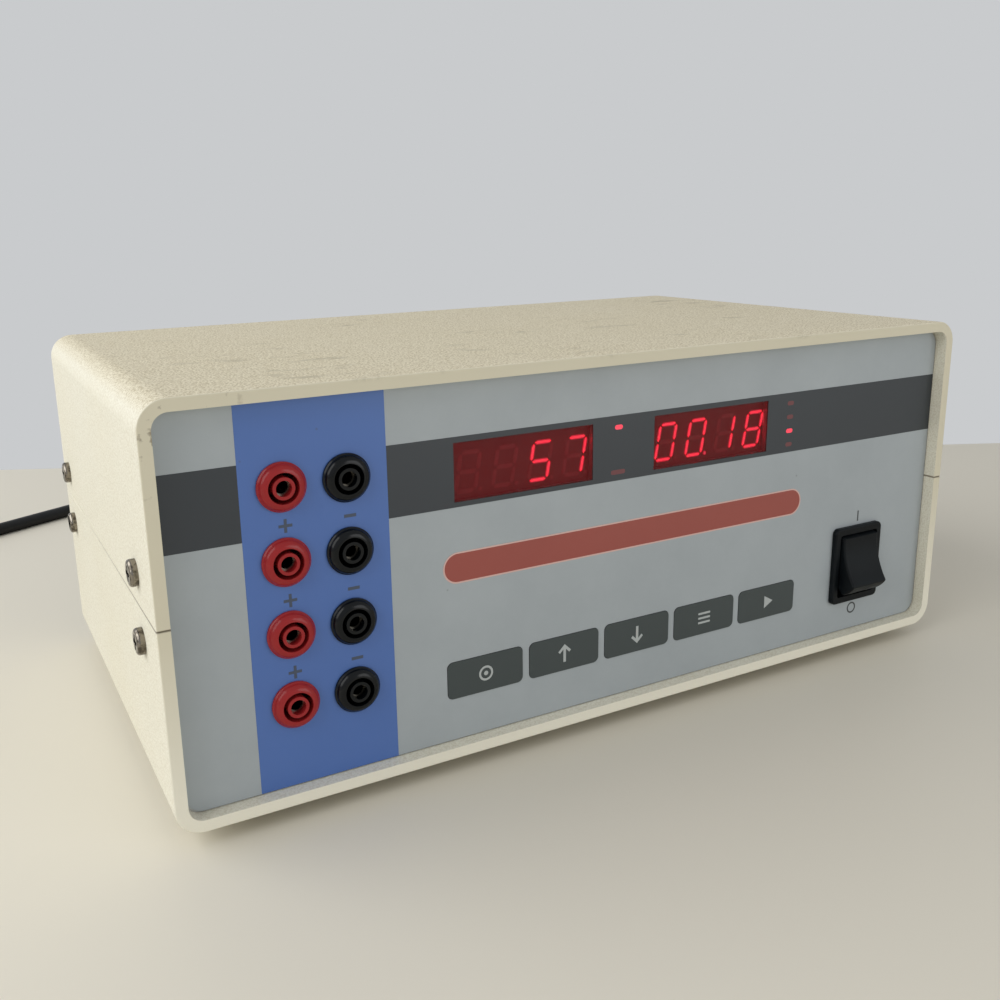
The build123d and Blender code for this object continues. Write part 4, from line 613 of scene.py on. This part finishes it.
for number in range(1, 6):
    key = f"key_{number}"
    low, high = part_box(key)
    x, z = ((low.x + high.x) / 2 - left_x) / mm, ((low.z + high.z) / 2 - base_z) / mm
    sign = bmesh.new()
    if number == 1:
        ring(sign, x, z, RING_SIGN_OUTER, RING_SIGN_INNER)
        disc(sign, x, z, DOT_RADIUS, steps=20)
    elif number in (2, 3):
        arrow(sign, x, z, 1 if number == 2 else -1)
    elif number == 4:
        for row in (-1, 0, 1):
            plate(sign, x, z + row * LIST_LINE_PITCH, LIST_LINE_LENGTH, LIST_LINE_WIDTH, corner=0.3,
                  steps=3)
    else:
        triangle = bmesh.ops.create_circle(sign, cap_ends=True, radius=TRIANGLE_RADIUS,
                                           segments=3)["verts"]
        sideways = Matrix.Rotation(-math.pi / 2, 3, "Z")
        bmesh.ops.rotate(sign, cent=(0, 0, 0), matrix=sideways, verts=triangle)
        bmesh.ops.translate(sign, vec=(x + TRIANGLE_SHIFT, z, 0), verts=triangle)
    layer(sign, f"{key}_sign", [sign_ink], body=key, back=key_face,
          thickness=OVERPRINT_THICKNESS)
dress(key_film, *[f"key_{n}" for n in range(1, 6)])


# Mains switch. A rocker of black glass-filled polyamide, satin with a fine grain, snaps into the
# panel with its bezel. Handling has left it lighter and duller in patches.
black_satin, tree, shader, place = new_finish("polyamide_satin_black", IOR=1.53, Specular_IOR_Level=0.12)
grain = add(tree, "ShaderNodeTexNoise", {"Vector": place, "Scale": 1 / (0.6 * mm), "Detail": 2.0})
handled = add(tree, "ShaderNodeTexNoise", {"Vector": place, "Scale": 1 / (9 * mm), "Detail": 3.0})
rubbed = add(tree, "ShaderNodeMapRange", {"Value": handled.outputs[0], "From Min": 0.35, "From Max": 0.75})
colour = add(tree, "ShaderNodeMix", {0: rubbed.outputs[0], 6: linear("#0B0F12"), 7: linear("#13181B")},
             data_type="RGBA")
tree.links.new(colour.outputs[2], shader.inputs["Base Color"])
satin = add(tree, "ShaderNodeMapRange", {"Value": handled.outputs[0], "To Min": 0.32, "To Max": 0.55})
tree.links.new(satin.outputs[0], shader.inputs["Roughness"])
relief = add(tree, "ShaderNodeBump", {"Strength": 0.22, "Distance": 0.04 * mm, "Height": grain.outputs[0]})
tree.links.new(relief.outputs[0], shader.inputs["Normal"])
dress(black_satin, "rocker_housing", "rocker_paddle")


# Rear panel. Aluminium sheet, powder coated in light grey with a fine orange peel, with vent slots
# and the cutout of the mains inlet.
powder_coat, tree, shader, place = new_finish("powder_coated_aluminium", Roughness=0.5, IOR=1.5)
peel = add(tree, "ShaderNodeTexNoise", {"Vector": place, "Scale": 1 / (1.2 * mm), "Detail": 2.0})
cloud = add(tree, "ShaderNodeTexNoise", {"Vector": place, "Scale": 1 / (60 * mm), "Detail": 3.0})
colour = add(tree, "ShaderNodeMix", {0: cloud.outputs[0], 6: linear("#A7ABA9"), 7: linear("#9DA19F")},
             data_type="RGBA")
tree.links.new(colour.outputs[2], shader.inputs["Base Color"])
relief = add(tree, "ShaderNodeBump", {"Strength": 0.25, "Distance": 0.06 * mm, "Height": peel.outputs[0]})
tree.links.new(relief.outputs[0], shader.inputs["Normal"])
dress(powder_coat, "rear_panel")


# Mains inlet. One moulding of black thermoplastic holds three pins and a fuse drawer that slides
# out to the rear. The fuse is a glass tube with nickel caps.

# satin black plastic with the marks of its flow in the mould
inlet_plastic = mottled_finish("thermoplastic_black", 4, 3.0, "#191A1B", "#232425", satin=(0.3, 0.5),
                               IOR=1.55)
dress(inlet_plastic, "mains_inlet", "fuse_drawer")

# a clear pale tube between two bright caps
GLASS_HALF_LENGTH = 3.6 * mm
fuse_low, fuse_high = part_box("fuse")
fuse_glass, tree, shader, place = new_finish("fuse_glass_and_caps", IOR=1.5)
along = add(tree, "ShaderNodeSeparateXYZ", {"Vector": place})
off_middle = add(tree, "ShaderNodeMath", {0: along.outputs["Y"], 1: (fuse_low.y + fuse_high.y) / 2},
                 operation="SUBTRACT")
off_middle = add(tree, "ShaderNodeMath", {0: off_middle.outputs[0]}, operation="ABSOLUTE")
capped = add(tree, "ShaderNodeMath", {0: off_middle.outputs[0], 1: GLASS_HALF_LENGTH},
             operation="GREATER_THAN")
colour = add(tree, "ShaderNodeMix", {0: capped.outputs[0], 6: linear("#C9D2CF"), 7: linear("#C4C0B4")},
             data_type="RGBA")
tree.links.new(colour.outputs[2], shader.inputs["Base Color"])
tree.links.new(capped.outputs[0], shader.inputs["Metallic"])
smooth = add(tree, "ShaderNodeMapRange", {"Value": capped.outputs[0], "To Min": 0.05, "To Max": 0.25})
tree.links.new(smooth.outputs[0], shader.inputs["Roughness"])
dress(fuse_glass, "fuse")


# Power supply inside. A green board with two sleeved capacitors and a black anodised heat sink,
# and a transformer of varnished laminations with a taped winding. They show only through the vents.

# the green of the display board, and dark blue sleeves on what stands higher than the laminate
board_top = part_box("main_board")[0].z + 1.7 * mm
power_board, tree, shader, place = new_finish("power_board_and_sleeves", Roughness=0.35, IOR=1.55)
above = add(tree, "ShaderNodeSeparateXYZ", {"Vector": place})
sleeved = add(tree, "ShaderNodeMath", {0: above.outputs["Z"], 1: board_top}, operation="GREATER_THAN")
tracks = add(tree, "ShaderNodeTexBrick", {"Vector": place, "Scale": 1 / (16 * mm), "Mortar Size": 0.03,
                                         "Color1": linear("#1F5A34"), "Color2": linear("#245F3A"),
                                         "Mortar": linear("#3B7A4C")})
sleeve_flow = add(tree, "ShaderNodeTexNoise", {"Vector": place, "Scale": 1 / (12 * mm), "Detail": 2.0})
sleeve = add(tree, "ShaderNodeMix", {0: sleeve_flow.outputs[0], 6: linear("#1B2440"), 7: linear("#232D4C")},
             data_type="RGBA")
colour = add(tree, "ShaderNodeMix", {0: sleeved.outputs[0], 6: tracks.outputs["Color"],
                                     7: sleeve.outputs[2]}, data_type="RGBA")
tree.links.new(colour.outputs[2], shader.inputs["Base Color"])
dress(power_board, "main_board")

# dark metal with upright lines from the die, drawn at 0.8 mm so that they show
black_anodised = mottled_finish("extruded_aluminium_black_anodised", 0.8, 2.0, "#3A3C3F", "#2C2E30",
                                satin=(0.35, 0.55), stretch=(1.0, 1.0, 0.03), Metallic=1.0)
dress(black_anodised, "heat_sink")

# edges of stacked steel sheets of 0.5 mm under varnish, drawn about 3 mm thick so that they show
laminations, tree, shader, place = new_finish("varnished_laminations", Metallic=0.6, IOR=1.5)
sheets = add(tree, "ShaderNodeTexWave", {"Vector": place, "Scale": 1 / (10 * mm), "Distortion": 0.2},
             bands_direction="Y")
colour = add(tree, "ShaderNodeMix", {0: sheets.outputs[0], 6: linear("#3B3C3E"), 7: linear("#5A5B5D")},
             data_type="RGBA")
tree.links.new(colour.outputs[2], shader.inputs["Base Color"])
satin = add(tree, "ShaderNodeMapRange", {"Value": sheets.outputs[0], "To Min": 0.35, "To Max": 0.55})
tree.links.new(satin.outputs[0], shader.inputs["Roughness"])
dress(laminations, "transformer_core")

# glossy yellow tape, in broad soft bands of light and dark where its turns overlap
winding_tape, tree, shader, place = new_finish("polyester_tape_yellow", Roughness=0.3, IOR=1.6)
turns = add(tree, "ShaderNodeTexWave", {"Vector": place, "Scale": 1 / (120 * mm), "Distortion": 0.6},
            bands_direction="Z")
colour = add(tree, "ShaderNodeMix", {0: turns.outputs[0], 6: linear("#C79A35"), 7: linear("#D8AC4A")},
             data_type="RGBA")
tree.links.new(colour.outputs[2], shader.inputs["Base Color"])
dress(winding_tape, "transformer_winding")


# Mains connector. Black PVC moulded over the cord's end. Its nose fills the inlet, and rings round
# the tapered strain relief let it bend.

# soft black plastic with a dull sheen and the unevenness of a thick moulding
moulded_pvc = mottled_finish("moulded_pvc_black", 3.5, 4.0, "#101213", "#1A1C1D", satin=(0.38, 0.58),
                             relief=(0.2, 0.05), IOR=1.54, Specular_IOR_Level=0.35)
dress(moulded_pvc, "mains_connector")

CORD_HEIGHT = 51.0
RELIEF_LENGTH, RELIEF_ROOT, RELIEF_TIP = 28.0, 7.0, 4.6
RING_RISE = 0.8
connector_low, connector_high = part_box("mains_connector")
cord_exit = Vector(((connector_low.x + connector_high.x) / 2, connector_high.y, CORD_HEIGHT * mm))


def relief_rings(drawing, count, start, step, near, far, width=2.3):
    """Adds rings round a strain relief on the Z axis, in mm, that goes from a near to a far radius.

    Each ring is a bar of rounded section, spun about the axis.
    """
    across = Matrix.Rotation(math.pi / 2, 3, "X")
    for n in range(count):
        middle = start + n * step + width / 2
        radius = near + (far - near) * middle / RELIEF_LENGTH
        profile = bmesh.ops.create_circle(drawing, cap_ends=False, radius=0.5, segments=12)["verts"]
        bmesh.ops.scale(drawing, vec=(2 * RING_RISE, width, 1), verts=profile)
        bmesh.ops.rotate(drawing, cent=(0, 0, 0), matrix=across, verts=profile)
        bmesh.ops.translate(drawing, vec=(radius, 0, middle), verts=profile)
        edges = list({e for v in profile for e in v.link_edges})
        bmesh.ops.spin(drawing, geom=profile + edges, cent=(0, 0, 0), axis=(0, 0, 1), angle=2 * math.pi,
                       steps=32, use_merge=True)


rings = bmesh.new()
relief_rings(rings, count=5, start=3.0, step=4.8, near=RELIEF_ROOT, far=RELIEF_TIP)
to_the_back = Matrix.Rotation(-math.pi / 2, 3, "X")
bmesh.ops.scale(rings, vec=(mm, mm, mm), verts=rings.verts)
bmesh.ops.rotate(rings, cent=(0, 0, 0), matrix=to_the_back, verts=rings.verts)
bmesh.ops.translate(rings, vec=(cord_exit.x, cord_exit.y - RELIEF_LENGTH * mm, cord_exit.z),
                    verts=rings.verts)
connector_rings = finished_piece(rings, "connector_rings", [moulded_pvc], "case", smooth=True)


# Mains plug. A round two-pin plug moulded on the cord's far end, with ribs for the fingers round
# its shoulder, nickel-plated pins and two earth strips let into its sides.
PLUG_X, PLUG_Y, PLUG_Z = -305.0, 57.0, 19.3
PLUG_WAY = Vector((0, -1, 0))
PLUG_ROOT, PLUG_STEPS = 9.0, 48
SHOULDER_START, SHOULDER_END = 30, 44
GROOVE_EDGE, GROOVE_DEPTH = 0.25, 0.55
plug_outline = [
    (0, 0), (3.9, 0), (RELIEF_TIP, 0.8), (PLUG_ROOT, 27), (10.2, 29), (13.4, 34), (16.4, 40),
    (18.2, 45), (19.0, 50), (19.0, 65.5), (18.3, 67.3), (16.8, 68), (0, 68),
]
plug_side = Vector((-PLUG_WAY.y, PLUG_WAY.x, 0))
plug_frame = Matrix((
    (plug_side.x, 0, PLUG_WAY.x, PLUG_X * mm),
    (plug_side.y, 0, PLUG_WAY.y, PLUG_Y * mm),
    (0, 1, 0, PLUG_Z * mm),
    (0, 0, 0, 1),
)) @ Matrix.Diagonal((mm, mm, mm, 1))


def turned(drawing, outline, steps):
    """Spins an outline of (radius, height) points in mm about the Z axis."""
    line = [drawing.verts.new((radius, 0, height)) for radius, height in outline]
    edges = [drawing.edges.new(pair) for pair in zip(line[:-1], line[1:])]
    bmesh.ops.spin(drawing, geom=line + edges, cent=(0, 0, 0), axis=(0, 0, 1), angle=2 * math.pi,
                   steps=steps, use_merge=True)
    bmesh.ops.remove_doubles(drawing, verts=drawing.verts, dist=1e-4)


def turn_of(face):
    """How far round the Z axis a face lies."""
    middle = face.calc_center_median()
    return math.atan2(middle.y, middle.x)


# every second strip round the shoulder is pressed in, which leaves the ribs
plug = bmesh.new()
turned(plug, plug_outline, PLUG_STEPS)
shoulder = sorted((f for f in plug.faces if SHOULDER_START < f.calc_center_median().z < SHOULDER_END),
                  key=turn_of)
grooved = [f for f in shoulder if round(turn_of(f) / (2 * math.pi / PLUG_STEPS) - 0.5) % 2 == 0]
bmesh.ops.inset_individual(plug, faces=grooved, thickness=GROOVE_EDGE, depth=-GROOVE_DEPTH)
relief_rings(plug, count=4, start=4.0, step=5.6, near=RELIEF_TIP, far=PLUG_ROOT, width=2.6)
bmesh.ops.transform(plug, matrix=plug_frame, verts=plug.verts)
plug_body = finished_piece(plug, "plug_body", [moulded_pvc], "case", smooth=True)
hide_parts("mains_plug")

PIN_SPACING = 19.0
pins = bmesh.new()
turned(pins, [(0, 67.5), (2.4, 67.5), (2.4, 84.6), (2.15, 86.1), (1.5, 86.9), (0, 87)], 24)
bmesh.ops.translate(pins, vec=(-PIN_SPACING / 2, 0, 0), verts=pins.verts)
second_pin = bmesh.ops.duplicate(pins, geom=pins.verts[:] + pins.edges[:] + pins.faces[:])["geom"]
bmesh.ops.translate(pins, vec=(PIN_SPACING, 0, 0), verts=points_of(second_pin))
bmesh.ops.transform(pins, matrix=plug_frame, verts=pins.verts)
plug_pins = finished_piece(pins, "plug_pins", [nickel_brass], "case", smooth=True)

STRIP_WIDTH, STRIP_THICKNESS, STRIP_LENGTH = 5.6, 0.6, 15
STRIP_OFF_AXIS, STRIP_ALONG = 18.9, 59.5
strips = bmesh.new()
for side in (-1, 1):
    strip = bmesh.ops.create_cube(strips, size=1)["verts"]
    bmesh.ops.scale(strips, vec=(STRIP_WIDTH, STRIP_THICKNESS, STRIP_LENGTH), verts=strip)
    bmesh.ops.translate(strips, vec=(0, side * STRIP_OFF_AXIS, STRIP_ALONG), verts=strip)
bmesh.ops.bevel(strips, geom=strips.edges[:], offset=0.2, offset_type="OFFSET", segments=2, profile=0.5,
                affect="EDGES", material=-1)
bmesh.ops.transform(strips, matrix=plug_frame, verts=strips.verts)
earth_strips = finished_piece(strips, "plug_earth_strips", [nickel_brass], "case")


# Mains cord. Three-core flexible cord in a black PVC sheath, 6.5 mm thick and 2 m long. It hangs
# from the inlet to the bench, curves behind the case to the left, and its spare length lies in a
# coil of two layers with a strap, just outside the view, with the plug in front of it.

# black sheath, duller in patches where dust and handling have left a film
cord_sheath = mottled_finish("pvc_sheath_black", 7, 4.0, "#08090A", "#121314", satin=(0.34, 0.52),
                             IOR=1.54, Specular_IOR_Level=0.3)

CORD_RADIUS, COIL_RADIUS, TURN_PITCH, LAYER_PITCH = 3.25, 45.0, 7.1, 7.0
STEPS_PER_TURN, LAYER_TURNS, CLIMB_TURNS = 16, 2.75, 0.5
STRAP_LIFT = 1.3
entry_turn = math.radians(-68.5)
coil_middle = Vector((-228.9, 243.3)) - COIL_RADIUS * Vector((math.cos(entry_turn), math.sin(entry_turn)))
bench_z = CORD_RADIUS + 0.05
route = [
    (cord_exit.x / mm, cord_exit.y / mm, CORD_HEIGHT), (102.0, 179.5, CORD_HEIGHT), (99.5, 212.0, 36.0),
    (94.0, 244.0, 14.0), (84.0, 275.0, 3.5), (60.0, 303.0, bench_z), (22.0, 322.0, bench_z),
    (-24.0, 327.0, bench_z), (-69.0, 317.0, bench_z), (-110.0, 299.9, bench_z),
    (-188.0, 259.4, bench_z),
]
# one layer winds inwards, the cord climbs in half a turn, and the other layer winds outwards
inner_radius = COIL_RADIUS - LAYER_TURNS * TURN_PITCH
inward, climbing = round(LAYER_TURNS * STEPS_PER_TURN), round(CLIMB_TURNS * STEPS_PER_TURN)
for step in range(2 * inward + climbing + 1):
    turned_by = entry_turn - step * 2 * math.pi / STEPS_PER_TURN
    if step <= inward:
        radius, level = COIL_RADIUS - TURN_PITCH * step / STEPS_PER_TURN, 0.0
    elif step < inward + climbing:
        share = (step - inward) / climbing
        radius = inner_radius - TURN_PITCH / 6 * math.sin(math.pi * share)
        level = (1 - math.cos(math.pi * share)) / 2
    else:
        radius, level = inner_radius + TURN_PITCH * (step - inward - climbing) / STEPS_PER_TURN, 1.0
    # the curve runs inside its points by this share, so they are set further out
    radius /= (6 + 2 * math.cos(2 * math.pi / STEPS_PER_TURN)) / 8
    # the far side of the coil lies on the strap
    lift = STRAP_LIFT * (0.5 - 0.5 * math.cos(turned_by - entry_turn)) ** 2
    route.append((coil_middle.x + radius * math.cos(turned_by), coil_middle.y + radius * math.sin(turned_by),
                  bench_z + lift + level * LAYER_PITCH))
route += [
    (-254.9, 233.0, 11.0), (-275.0, 215.0, 5.5), (-288.0, 188.5, 3.5), (-298.5, 150.5, bench_z),
    (-303.0, 114.5, 8.5), (PLUG_X, 83.0, PLUG_Z), (PLUG_X, PLUG_Y, PLUG_Z),
]
line = bpy.data.curves.new("mains_cord", "CURVE")
line.dimensions = "3D"
spline = line.splines.new("NURBS")
spline.points.add(len(route) - 1)
for point, (x, y, z) in zip(spline.points, route):
    point.co = (x * mm, y * mm, z * mm, 1.0)
spline.order_u = 3
spline.use_endpoint_u = True
spline.resolution_u = 6
line.bevel_depth = CORD_RADIUS * mm
line.bevel_resolution = 5
line.use_fill_caps = True
line.materials.append(cord_sheath)
mains_cord = bpy.data.objects.new("mains_cord", line)
bpy.context.scene.collection.objects.link(mains_cord)
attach(mains_cord, "case")
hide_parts("cord_lead", "cord_coil", "cord_tail")


# Cord strap. A band of black hook-and-loop tape round the far side of the coil, with its loose end
# pressed down on top.

# fuzzy black pile that takes the light softly; its loops are drawn at 0.5 mm so that they show
tape = mottled_finish("hook_and_loop_tape_black", 0.5, 4.0, "#151617", "#2E2F31", relief=(0.5, 0.2),
                      Roughness=0.95, Sheen_Weight=0.3)

STRAP_WIDTH, STRAP_THICKNESS, STRAP_GAP, STRAP_CORNER = 6, 0.9, 0.3, 2.4
STRAP_OFF_BENCH = 1.0
END_LENGTH, END_WIDTH, END_THICKNESS = 15, 5.8, 0.6
END_RISE, END_SHIFT = 1.1, -1
tie_turn = entry_turn + math.pi
tie_out = Vector((math.cos(tie_turn), math.sin(tie_turn), 0))
strap_low = inner_radius + TURN_PITCH / 4 - CORD_RADIUS - STRAP_GAP
strap_high = COIL_RADIUS - TURN_PITCH / 2 + CORD_RADIUS + STRAP_GAP
strap_height = LAYER_PITCH + 2 * CORD_RADIUS + 2 * STRAP_GAP
strap = bmesh.new()
bmesh.ops.create_grid(strap, x_segments=1, y_segments=1, size=0.5)
bmesh.ops.scale(strap, vec=(strap_high - strap_low + STRAP_THICKNESS, strap_height + STRAP_THICKNESS, 1),
                verts=strap.verts)
bmesh.ops.bevel(strap, geom=strap.verts[:], offset=STRAP_CORNER, offset_type="OFFSET", segments=8,
                profile=0.5, affect="VERTICES", material=-1)
bmesh.ops.delete(strap, geom=strap.faces[:], context="FACES_ONLY")
bmesh.ops.translate(strap, vec=(0, 0, -STRAP_WIDTH / 2), verts=strap.verts)
grown = bmesh.ops.extrude_edge_only(strap, edges=strap.edges[:])["geom"]
bmesh.ops.translate(strap, vec=(0, 0, STRAP_WIDTH), verts=points_of(grown))
bmesh.ops.recalc_face_normals(strap, faces=strap.faces)
bmesh.ops.solidify(strap, geom=strap.faces[:], thickness=STRAP_THICKNESS)
loose_end = bmesh.ops.create_grid(strap, x_segments=8, y_segments=1, size=0.5)["verts"]
lie_along = Matrix.Rotation(math.pi / 2, 3, "X")
bmesh.ops.scale(strap, vec=(END_LENGTH, END_WIDTH, 1), verts=loose_end)
bmesh.ops.rotate(strap, cent=(0, 0, 0), matrix=lie_along, verts=loose_end)
bmesh.ops.translate(strap, vec=(END_SHIFT, strap_height / 2 + END_RISE, 0), verts=loose_end)
sheet_faces = list({f for v in loose_end for f in v.link_faces})
bmesh.ops.solidify(strap, geom=sheet_faces, thickness=END_THICKNESS)
strap_frame = Matrix((
    (tie_out.x, 0, -tie_out.y, coil_middle.x + tie_out.x * (strap_low + strap_high) / 2),
    (tie_out.y, 0, tie_out.x, coil_middle.y + tie_out.y * (strap_low + strap_high) / 2),
    (0, 1, 0, STRAP_OFF_BENCH + strap_height / 2),
    (0, 0, 0, 1),
))
bmesh.ops.transform(strap, matrix=Matrix.Diagonal((mm, mm, mm, 1)) @ strap_frame, verts=strap.verts)
cord_strap = finished_piece(strap, "cord_strap", [tape], "case")
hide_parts("cord_tie")


# Bench, light and camera. A plain pale bench ends behind the case. Soft light comes from a window
# on the left, from all round, and a little from the room in front. The camera stands where the
# photographer stood.

# pale matt laminate, in faint clouds where it has been wiped
laminate_top = mottled_finish("bench_laminate_pale", 1000 / 3, 3.0, "#DFDACC", "#DAD5C7", Roughness=0.5)

BENCH_HALF_WIDTH, BENCH_HALF_DEPTH = 3.0, 2.0
BENCH_EDGE = (-0.157, 0.439, 0)
bench_turn = Matrix.Rotation(math.radians(-26.4), 3, "Z")
bench_drawing = bmesh.new()
bmesh.ops.create_grid(bench_drawing, x_segments=1, y_segments=1, size=1)
bmesh.ops.scale(bench_drawing, vec=(BENCH_HALF_WIDTH, BENCH_HALF_DEPTH, 1), verts=bench_drawing.verts)
bmesh.ops.translate(bench_drawing, vec=(0, -BENCH_HALF_DEPTH, 0), verts=bench_drawing.verts)
bmesh.ops.rotate(bench_drawing, cent=(0, 0, 0), matrix=bench_turn, verts=bench_drawing.verts)
bmesh.ops.translate(bench_drawing, vec=BENCH_EDGE, verts=bench_drawing.verts)
bench_mesh = bpy.data.meshes.new("bench")
bench_drawing.to_mesh(bench_mesh)
bench_drawing.free()
bench_mesh.materials.append(laminate_top)
bench = bpy.data.objects.new("bench", bench_mesh)
bpy.context.scene.collection.objects.link(bench)

# the world lights the object as dim daylight and is seen, and mirrored, as a pale grey wall
room = bpy.data.worlds.new("room")
bpy.context.scene.world = room
room.use_nodes = True
room.node_tree.nodes.clear()
daylight = add(room.node_tree, "ShaderNodeBackground", {"Color": linear("#FFFFFF"), "Strength": 0.44})
wall = add(room.node_tree, "ShaderNodeBackground", {"Color": linear("#C9CBCD"), "Strength": 1.0})
path = add(room.node_tree, "ShaderNodeLightPath")
seen = path.outputs["Is Camera Ray"]
for ray in ("Is Glossy Ray", "Is Transmission Ray"):
    seen = add(room.node_tree, "ShaderNodeMath", {0: seen, 1: path.outputs[ray]},
               operation="MAXIMUM").outputs[0]
shown_world = add(room.node_tree, "ShaderNodeMixShader", {0: seen, 1: daylight.outputs[0],
                                                         2: wall.outputs[0]})
add(room.node_tree, "ShaderNodeOutputWorld", {"Surface": shown_world.outputs[0]})

for name, shape, size, energy, position, target in (
    ("window", "RECTANGLE", (1.8, 1.0), 13.5, (-1.0, 0.1, 0.75), (-0.1, 0, 0.06)),
    ("room_fill", "SQUARE", (0.6, 0.6), 2.3, (0.5, -1.0, 0.3), (0.03, 0, 0.05)),
):
    light = bpy.data.lights.new(name, "AREA")
    light.shape = shape
    light.size, light.size_y = size
    light.energy = energy
    lamp = bpy.data.objects.new(name, light)
    bpy.context.scene.collection.objects.link(lamp)
    lamp.location = position
    lamp.rotation_euler = (Vector(target) - lamp.location).to_track_quat("-Z", "Y").to_euler()

# lens, shift and place come from fitting the corners, sockets, windows and keys of the photograph
camera_data = bpy.data.cameras.new("camera")
camera_data.sensor_fit = "HORIZONTAL"
camera_data.sensor_width = 36.0
camera_data.lens = 36.744
camera_data.shift_x = 0.02376
camera_data.shift_y = -0.02564
camera = bpy.data.objects.new("camera", camera_data)
bpy.context.scene.collection.objects.link(camera)
camera.matrix_world = Matrix((
    (0.8788, 0.13361, -0.45811, -0.19234),
    (-0.47681, 0.20753, -0.85416, -0.33714),
    (-0.01905, 0.96906, 0.24609, 0.16788),
    (0, 0, 0, 1),
))
bpy.context.scene.camera = camera
bpy.context.scene.view_settings.view_transform = "Standard"

bpy.context.view_layer.update()
